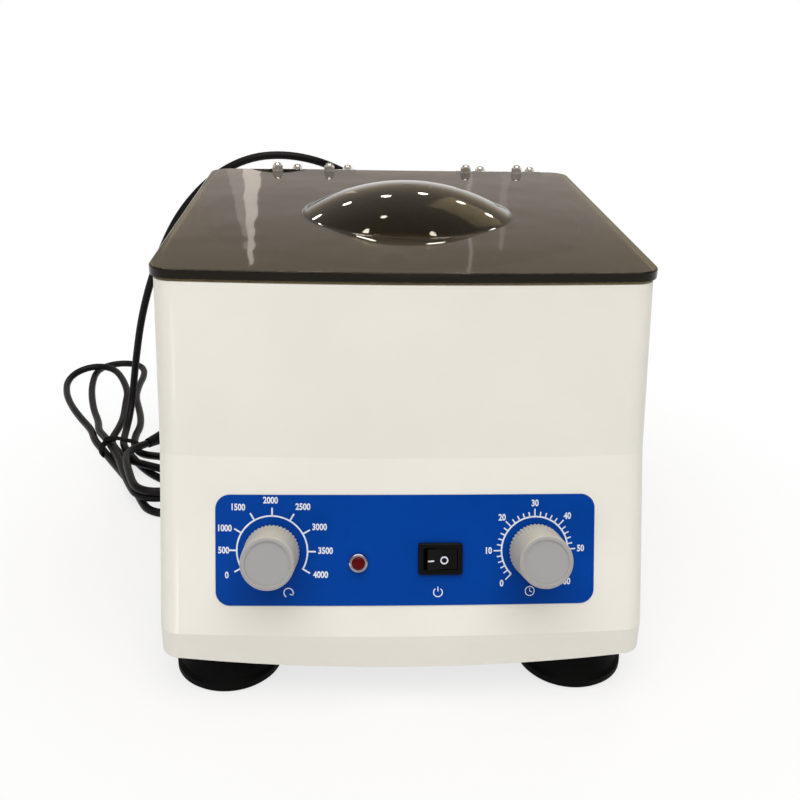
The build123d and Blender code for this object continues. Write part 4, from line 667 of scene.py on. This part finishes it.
def tie_strap():
    """A soft strap round the middle of the hank, pulled tight, with its tail laid back on itself."""
    wraps_mm = (
        (-2, 13.6), (-8, 14.1), (-12.2, 12.4), (-15.4, 8), (-16.6, 3.6), (-15.6, 1), (-9, 0.7), (0, 0.7),
        (9, 0.7), (14.6, 0.9), (15.9, 3.4), (14.4, 6.6), (9.4, 8.4), (3.6, 10.6), (-2, 12.9), (-7.6, 13.9),
        (-12.8, 12.9),
    )
    section_mm = ((-4.5, 0), (-4.1, 0.7), (4.1, 0.7), (4.5, 0), (4.1, -0.5), (-4.1, -0.5))
    tail_start = 14
    tail_lift_mm = 1.2
    lowest_mm = 0.4
    mesh = bmesh.new()
    rows = []
    for i, (across_mm, height_mm) in enumerate(wraps_mm):
        before = Vector(wraps_mm[max(i - 1, 0)])
        after = Vector(wraps_mm[min(i + 1, len(wraps_mm) - 1)])
        run = (after - before).normalized()
        lift_mm = tail_lift_mm if i >= tail_start else 0  # the tail lies on the first turn
        row = []
        for along_mm, out_mm in section_mm:
            out_mm += lift_mm
            up_mm = max(height_mm - run.x * out_mm, lowest_mm)
            row.append(mesh.verts.new(hank_point(along_mm, across_mm + run.y * out_mm, up_mm)))
        rows.append(row)
    for low, high in zip(rows, rows[1:]):
        for k, corner in enumerate(low):
            mesh.faces.new((low[k - 1], corner, high[k], high[k - 1]))
    mesh.faces.new(rows[0][::-1])
    mesh.faces.new(rows[-1])
    bmesh.ops.recalc_face_normals(mesh, faces=mesh.faces)
    data = bpy.data.meshes.new("tie_strap")
    mesh.to_mesh(data)
    mesh.free()
    strap = new_object("tie_strap", data)
    smooth = strap.modifiers.new("soften", "SUBSURF")
    smooth.levels = smooth.render_levels = 2
    data.shade_smooth()
    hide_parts("cord_tie")
    return strap


class CENTRIFUGE_OT_lead(bpy.types.Operator):
    """Lays the mains lead and its hank, with the tie round it and the plug at its end"""

    bl_idname = "centrifuge.lead"
    bl_label = "Mains lead"

    def execute(self, context):
        colours, sizes = settings()
        points = lead_points()
        curve = bpy.data.curves.new("mains_lead", "CURVE")
        curve.dimensions = "3D"
        curve.bevel_depth = sizes.cord_diameter / 2
        curve.bevel_resolution = 4
        curve.resolution_u = 5
        curve.use_fill_caps = True
        spline = curve.splines.new("NURBS")
        spline.points.add(len(points) - 1)
        for point, place in zip(spline.points, points):
            point.co = (*place, 1)
        spline.order_u = 3
        spline.use_endpoint_u = True
        sheath = extruded_pvc(colours.cord_black)
        lead = seat_piece(new_object("mains_lead", curve), sheath, "housing")
        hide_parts("power_cord", "cord_hank")
        finish(["mains_plug", "strain_relief"], sheath)
        finish(["plug_blades"], nickel_plate())
        seat_piece(tie_strap(), woven_hook_tape(colours.rubber), "housing")
        return {"FINISHED"}


class CENTRIFUGE_OT_housing(bpy.types.Operator):
    """Finishes the enamelled housing, its feet, base and rear fittings"""

    bl_idname = "centrifuge.housing"
    bl_label = "Housing"

    def execute(self, context):
        colours, _ = settings()
        finish(["housing_shell"], stoved_enamel(colours.enamel))
        finish(["rubber_feet", "rubber_dampers", "shaft_boot"], moulded_rubber(colours.rubber))
        finish(["base_plate", "motor_plate"], zinc_plate())
        finish(["base_screws", "foot_screws", "foot_nuts", "damper_screws"], zinc_plate())
        finish(["fuse_holder"], moulded_phenolic())
        return {"FINISHED"}


class CENTRIFUGE_OT_lid(bpy.types.Operator):
    """Finishes the smoked lid, its seal and its two hinges"""

    bl_idname = "centrifuge.lid"
    bl_label = "Lid and hinges"

    def execute(self, context):
        colours, _ = settings()
        finish(["lid_panel"], smoked_acrylic(colours.acrylic))
        finish(["lid_seal"], moulded_rubber(colours.rubber, "foam rubber"))
        finish(["lid_hinge_leaves", "body_hinge_leaves", "hinge_pins"], spun_stainless())
        bright = nickel_plate()
        finish(["lid_bolts", "lid_nuts", "lid_washers", "hinge_bolts", "hinge_nuts", "hinge_washers"], bright)
        return {"FINISHED"}


class CENTRIFUGE_OT_controls(bpy.types.Operator):
    """Finishes the label, knobs, lamp and switch, and the parts behind the console"""

    bl_idname = "centrifuge.controls"
    bl_label = "Controls"

    def execute(self, context):
        colours, _ = settings()
        finish(["front_label"], printed_film(colours.label_blue))
        finish(["speed_knob", "time_knob"], capped_knob(colours.knob_grey, colours.knob_cap))
        finish(["switch_frame"], satin_nylon(colours.switch_black))
        finish(["power_rocker"], polished_nylon(colours.switch_black))
        finish(["lamp_bezel"], chrome_plate())
        finish(["lamp_lens"], clear_red_lens(colours.lamp_red))
        finish(["lamp_nut", "rocker_pin", "control_nuts", "control_bushings"], nickel_plate())
        finish(["speed_stem", "time_stem", "board_standoffs"], brass_terminal())
        finish(["speed_potentiometer", "timer_unit"], zinc_plate())
        finish(["control_board"], epoxy_laminate())
        finish(["board_parts"], shrunk_sleeve())
        finish(["heat_sink"], black_anodised())
        return {"FINISHED"}


class CENTRIFUGE_OT_drive(bpy.types.Operator):
    """Finishes the chamber, the rotor with its tube sleeves, and the motor"""

    bl_idname = "centrifuge.drive"
    bl_label = "Chamber, rotor and motor"

    def execute(self, context):
        colours, _ = settings()
        finish(["chamber_bowl", "bowl_screws", "bowl_nuts"], spun_stainless())
        finish(["rotor_head", "motor_bells"], cast_aluminium())
        finish(["tube_sleeves"], anodised_aluminium())
        finish(["sleeve_cushions"], moulded_rubber(colours.rubber, "cushion rubber"))
        finish(["motor_shaft", "rotor_nut", "motor_bearings"], turned_steel())
        finish(["motor_can"], satin_paint())
        finish(["armature"], varnished_winding())
        finish(["field_magnets"], pressed_ferrite())
        return {"FINISHED"}


def speed_scale(sizes):
    """The speed dial's ring, ticks and numbers, and a turning arrow under it."""
    sheet = InkSheet()
    dial = (-sizes.dial_x, sizes.dial_v)
    ring = sizes.speed_ring
    sheet.arc(dial, ring, radians(-118), radians(121), sizes.ink_line)
    for i, (x_mm, v_mm) in enumerate(SPEED_NUMBERS_MM):
        sheet.tick(dial, radians(-120 + 30 * i), ring, ring + 4.3 * MM, sizes.ink_line)
        sheet.number(500 * i, (x_mm * MM, v_mm * MM))
    sign = (dial[0] + 8.5 * MM, dial[1] - 21.8 * MM)
    radius = 2.4 * MM
    line = 0.55 * MM
    head = radians(120)
    sheet.arc(sign, radius, radians(-150), head, line, 32)
    tip = (sign[0] + radius * sin(head), sign[1] + radius * cos(head))
    sheet.strip([(tip[0] - 1.5 * MM, tip[1] + 0.5 * MM), tip, (tip[0] + 0.6 * MM, tip[1] + 1.5 * MM)], line)
    return sheet


def time_scale(sizes):
    """The timer dial's ring, its long and short ticks and its numbers, and a small clock under it."""
    sheet = InkSheet()
    dial = (sizes.dial_x - 0.5 * MM, sizes.dial_v)
    ring = sizes.time_ring
    sweep = radians(135)
    sheet.arc(dial, ring, -sweep, sweep, sizes.ink_line)
    steps = 30
    for i in range(steps + 1):
        turn = sweep * (2 * i / steps - 1)
        tick = 2.7 * MM
        if i % 5 == 0:
            tick = 4.2 * MM
            reach = ring + 7.0 * MM
            sheet.number(2 * i, (dial[0] + reach * sin(turn), dial[1] + reach * cos(turn)))
        sheet.tick(dial, turn, ring, ring + tick, sizes.ink_line * 0.8)
    sign = (dial[0] - 2.4 * MM, dial[1] - 21.8 * MM)
    sheet.arc(sign, 2.4 * MM, 0, 2 * pi, 0.5 * MM, 32)
    sheet.strip([(sign[0], sign[1] + 1.7 * MM), sign, (sign[0] + 1.3 * MM, sign[1] - 0.6 * MM)], 0.45 * MM)
    return sheet


def mains_sign(sizes):
    """A broken ring with a stroke through its gap, under the switch."""
    sheet = InkSheet()
    sign = (17.5 * MM, sizes.dial_v - 21.5 * MM)
    line = 0.55 * MM
    sheet.arc(sign, 2.3 * MM, radians(35), radians(325), line, 32)
    sheet.strip([(sign[0], sign[1] + 3.0 * MM), (sign[0], sign[1] + 0.5 * MM)], line)
    return sheet


class CENTRIFUGE_OT_scales(bpy.types.Operator):
    """Prints the two dial scales and the plain signs under the controls on the label"""

    bl_idname = "centrifuge.scales"
    bl_label = "Printed scales"

    def execute(self, context):
        colours, sizes = settings()
        ink = screen_ink(colours.ink)

        def place(x, v):
            return console_point(x, v, sizes.ink_lift)

        printed = {"speed_scale": speed_scale, "time_scale": time_scale, "mains_sign": mains_sign}
        for name, draw in printed.items():
            seat_piece(draw(sizes).lay(name, place), ink, "housing")
        return {"FINISHED"}


class CENTRIFUGE_OT_rocker_marks(bpy.types.Operator):
    """Prints the on and off marks on the rocker, which tip with it"""

    bl_idname = "centrifuge.rocker_marks"
    bl_label = "Rocker marks"

    def execute(self, context):
        colours, _ = settings()
        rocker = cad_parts["power_rocker"]
        depsgraph = context.evaluated_depsgraph_get()
        context.view_layer.update()
        above = 20 * MM
        ink_lift = 0.05 * MM

        def place(x, v):
            first = console_point(x, v, above)
            hit, where, normal, _ = rocker.evaluated_get(depsgraph).ray_cast(first, -console_normal())
            if not hit:
                raise RuntimeError("a rocker mark misses the rocker")
            return where + normal * ink_lift

        sheet = InkSheet()
        middle_v = -7.3 * MM
        # the dash has a point in its middle, so that it bends with the rocker
        sheet.strip([(x * MM, middle_v) for x in (12.0, 13.6, 15.2)], 0.75 * MM)
        sheet.arc((20.6 * MM, middle_v), 1.75 * MM, 0, 2 * pi, 0.7 * MM, 32)
        marks = sheet.lay("rocker_marks", place)
        seat_piece(marks, screen_ink(colours.ink), "rocker_body")
        return {"FINISHED"}


def lamp(name, place, size, watts, hex_colour):
    """A soft square lamp that faces the object's middle."""
    data = bpy.data.lights.new(name, "AREA")
    data.size = size
    data.energy = watts
    data.color = linear(hex_colour)[:3]
    obj = new_object(name, data)
    obj.location = place
    aim = Vector((0, 0, 0.15)) - obj.location
    obj.rotation_euler = aim.to_track_quat("-Z", "Y").to_euler()
    return obj


def ceiling_lamps():
    """A room's round ceiling lamps: the domed lid mirrors them, and they light nothing else."""
    behind = ((-0.23, 3.42), (0.52, 3.9), (-1.05, 3.79), (1.32, 3.9), (-1.88, 4.26), (2.09, 4.03))
    above = ((-0.32, 1.42), (-0.63, 1.01), (0.49, 0.79))
    height = 2.4
    watts_per_square = 60
    number = 0
    for size, spots in ((0.2, behind), (0.11, above)):
        for x, y in spots:
            number += 1
            spot = lamp(f"ceiling {number}", (x, y, height), size, watts_per_square * size**2, "#FFF8EA")
            spot.data.shape = "DISK"
            spot.visible_diffuse = False
            spot.visible_transmission = False


def seen_rays(tree):
    """1 for what is seen straight on, mirrored or through glass, and 0 for what only lights the object."""
    path = add(tree, "ShaderNodeLightPath")
    total = path.outputs["Is Camera Ray"]
    for kind in ("Is Glossy Ray", "Is Transmission Ray"):
        links = {0: total, 1: path.outputs[kind]}
        total = add(tree, "ShaderNodeMath", links=links, operation="ADD", use_clamp=True).outputs[0]
    return total


def pane(name, corners, strength):
    """A bright upright pane far behind the object, which only mirrors show."""
    data = bpy.data.meshes.new(name)
    far = 3.0
    data.from_pydata([(x, far, z) for x, z in corners], [], [(0, 1, 2, 3)])
    obj = new_object(name, data)
    material = bpy.data.materials.new(name)
    material.use_nodes = True
    tree = material.node_tree
    tree.nodes.remove(tree.nodes["Principled BSDF"])
    glow = add(tree, "ShaderNodeEmission", {"Color": linear("#FFF4EA"), "Strength": strength})
    tree.links.new(glow.outputs[0], tree.nodes["Material Output"].inputs["Surface"])
    data.materials.append(material)
    obj.visible_camera = obj.visible_diffuse = obj.visible_shadow = obj.visible_transmission = False


def room_panes():
    """A window with its curtain and the edges of a door, which the flat lid mirrors as pale streaks."""
    panes = {
        "window": (((-0.424, 0.73), (-0.354, 0.73), (-0.405, 1.12), (-0.415, 1.12)), 1.5),
        "curtain": (((-0.484, 0.73), (-0.424, 0.73), (-0.418, 1.03), (-0.43, 1.03)), 0.8),
        "door edge": (((0.376, 0.74), (0.392, 0.74), (0.411, 1.13), (0.399, 1.13)), 0.85),
        "door": (((0.5, 0.74), (0.534, 0.74), (0.522, 1.05), (0.51, 1.05)), 0.7),
    }
    for name, (corners, strength) in panes.items():
        pane(name, corners, strength)


def studio_world(ambient):
    """Even light. The camera, mirrors and glass see it as white, with a room's warm ceiling higher up."""
    world = bpy.data.worlds.new("studio")
    bpy.context.scene.world = world
    world.use_nodes = True
    tree = world.node_tree
    room = tree.nodes["Background"]
    room.inputs["Color"].default_value = linear("#FFFEFC")
    room.inputs["Strength"].default_value = ambient
    ray = add(tree, "ShaderNodeTexCoord").outputs["Generated"]
    rise = add(tree, "ShaderNodeSeparateXYZ", links={"Vector": ray})
    sky = add(tree, "ShaderNodeValToRGB", links={"Fac": rise.outputs["Z"]})
    steps = sky.color_ramp.elements
    for step, position, hex_colour in zip(steps, (0.07, 0.42), ("#FFFFFF", "#A39C92")):
        step.position = position
        step.color = linear(hex_colour)
    for position, hex_colour in ((0.17, "#D3CAC4"), (0.26, "#B3A899")):
        steps.new(position).color = linear(hex_colour)
    white = add(tree, "ShaderNodeBackground", {"Strength": 1.0}, {"Color": sky.outputs["Color"]})
    links = {0: seen_rays(tree), 1: room.outputs[0], 2: white.outputs[0]}
    mix = add(tree, "ShaderNodeMixShader", links=links)
    tree.links.new(mix.outputs[0], tree.nodes["World Output"].inputs["Surface"])


def card_floor():
    """A wide matt card, which keeps the object's shadow and fades to plain white away from it."""
    disc = bmesh.new()
    bmesh.ops.create_circle(disc, cap_ends=True, cap_tris=True, segments=96, radius=14)
    data = bpy.data.meshes.new("floor")
    disc.to_mesh(data)
    disc.free()
    floor = new_object("floor", data)
    material, tree, shader, place = start("matt studio card", {"Roughness": 0.9, "Specular IOR Level": 0.2})
    mottle(tree, shader, place, (linear("#E4E3E1"), linear("#E8E7E5")), 300)
    glow = add(tree, "ShaderNodeEmission", {"Color": (1, 1, 1, 1), "Strength": 1.0})
    distance = add(tree, "ShaderNodeVectorMath", links={0: place}, operation="LENGTH")
    fade = add(
        tree, "ShaderNodeMapRange", {"From Min": 0.14, "From Max": 0.4, "To Min": 0.72},
        {"Value": distance.outputs["Value"]}, interpolation_type="SMOOTHSTEP",
    )
    links = {0: fade.outputs["Result"], 1: seen_rays(tree)}
    seen_fade = add(tree, "ShaderNodeMath", links=links, operation="MULTIPLY")
    links = {0: seen_fade.outputs[0], 1: shader.outputs[0], 2: glow.outputs[0]}
    blend = add(tree, "ShaderNodeMixShader", links=links)
    tree.links.new(blend.outputs[0], tree.nodes["Material Output"].inputs["Surface"])
    data.materials.append(material)


class CENTRIFUGE_OT_stage(bpy.types.Operator):
    """Sets a plain white floor, a white background and soft studio light"""

    bl_idname = "centrifuge.stage"
    bl_label = "Stage"

    ambient: bpy.props.FloatProperty(name="Ambient", description="Strength of the room's light", default=0.25)
    key: bpy.props.FloatProperty(name="Key", description="Power of the overhead lamp in watts", default=48.0)

    def execute(self, context):
        studio_world(self.ambient)
        card_floor()
        lamp("overhead", (0.0, -0.7, 2.0), 2.4, self.key, "#FFFCF8")
        lamp("front fill", (-0.9, -1.7, 0.2), 0.2, 2.6, "#F9FAFF")
        back = lamp("back fill", (0.8, 1.7, 1.4), 0.8, 9.0, "#FFFCF8")
        back.visible_glossy = False
        ceiling_lamps()
        room_panes()
        return {"FINISHED"}


OPERATORS = (
    CENTRIFUGE_OT_camera,
    CENTRIFUGE_OT_lead,
    CENTRIFUGE_OT_stage,
    CENTRIFUGE_OT_housing,
    CENTRIFUGE_OT_lid,
    CENTRIFUGE_OT_controls,
    CENTRIFUGE_OT_scales,
    CENTRIFUGE_OT_rocker_marks,
    CENTRIFUGE_OT_drive,
)


class CENTRIFUGE_PT_sidebar(bpy.types.Panel):
    """Lists the centrifuge's pieces and settings"""

    bl_idname = "CENTRIFUGE_PT_sidebar"
    bl_label = "Centrifuge"
    bl_space_type = "VIEW_3D"
    bl_region_type = "UI"
    bl_category = "Centrifuge"

    def draw(self, context):
        layout = self.layout
        for group in settings():
            for name in group.__annotations__:
                layout.prop(group, name)
        for operator in OPERATORS:
            layout.operator(operator.bl_idname)


CLASSES = (CentrifugeColours, CentrifugeSizes, *OPERATORS, CENTRIFUGE_PT_sidebar)


def register():
    """Adds the settings, pieces and panel."""
    for cls in CLASSES:
        bpy.utils.register_class(cls)
    bpy.types.Scene.centrifuge_colours = bpy.props.PointerProperty(type=CentrifugeColours)
    bpy.types.Scene.centrifuge_sizes = bpy.props.PointerProperty(type=CentrifugeSizes)


def unregister():
    """Takes them away again."""
    del bpy.types.Scene.centrifuge_sizes
    del bpy.types.Scene.centrifuge_colours
    for cls in reversed(CLASSES):
        bpy.utils.unregister_class(cls)


def main():
    """Makes every piece in order."""
    register()
    bpy.context.scene.view_settings.view_transform = "Standard"
    for operator in OPERATORS:
        section, name = operator.bl_idname.split(".")
        getattr(getattr(bpy.ops, section), name)()


if __name__ == "__main__":
    main()
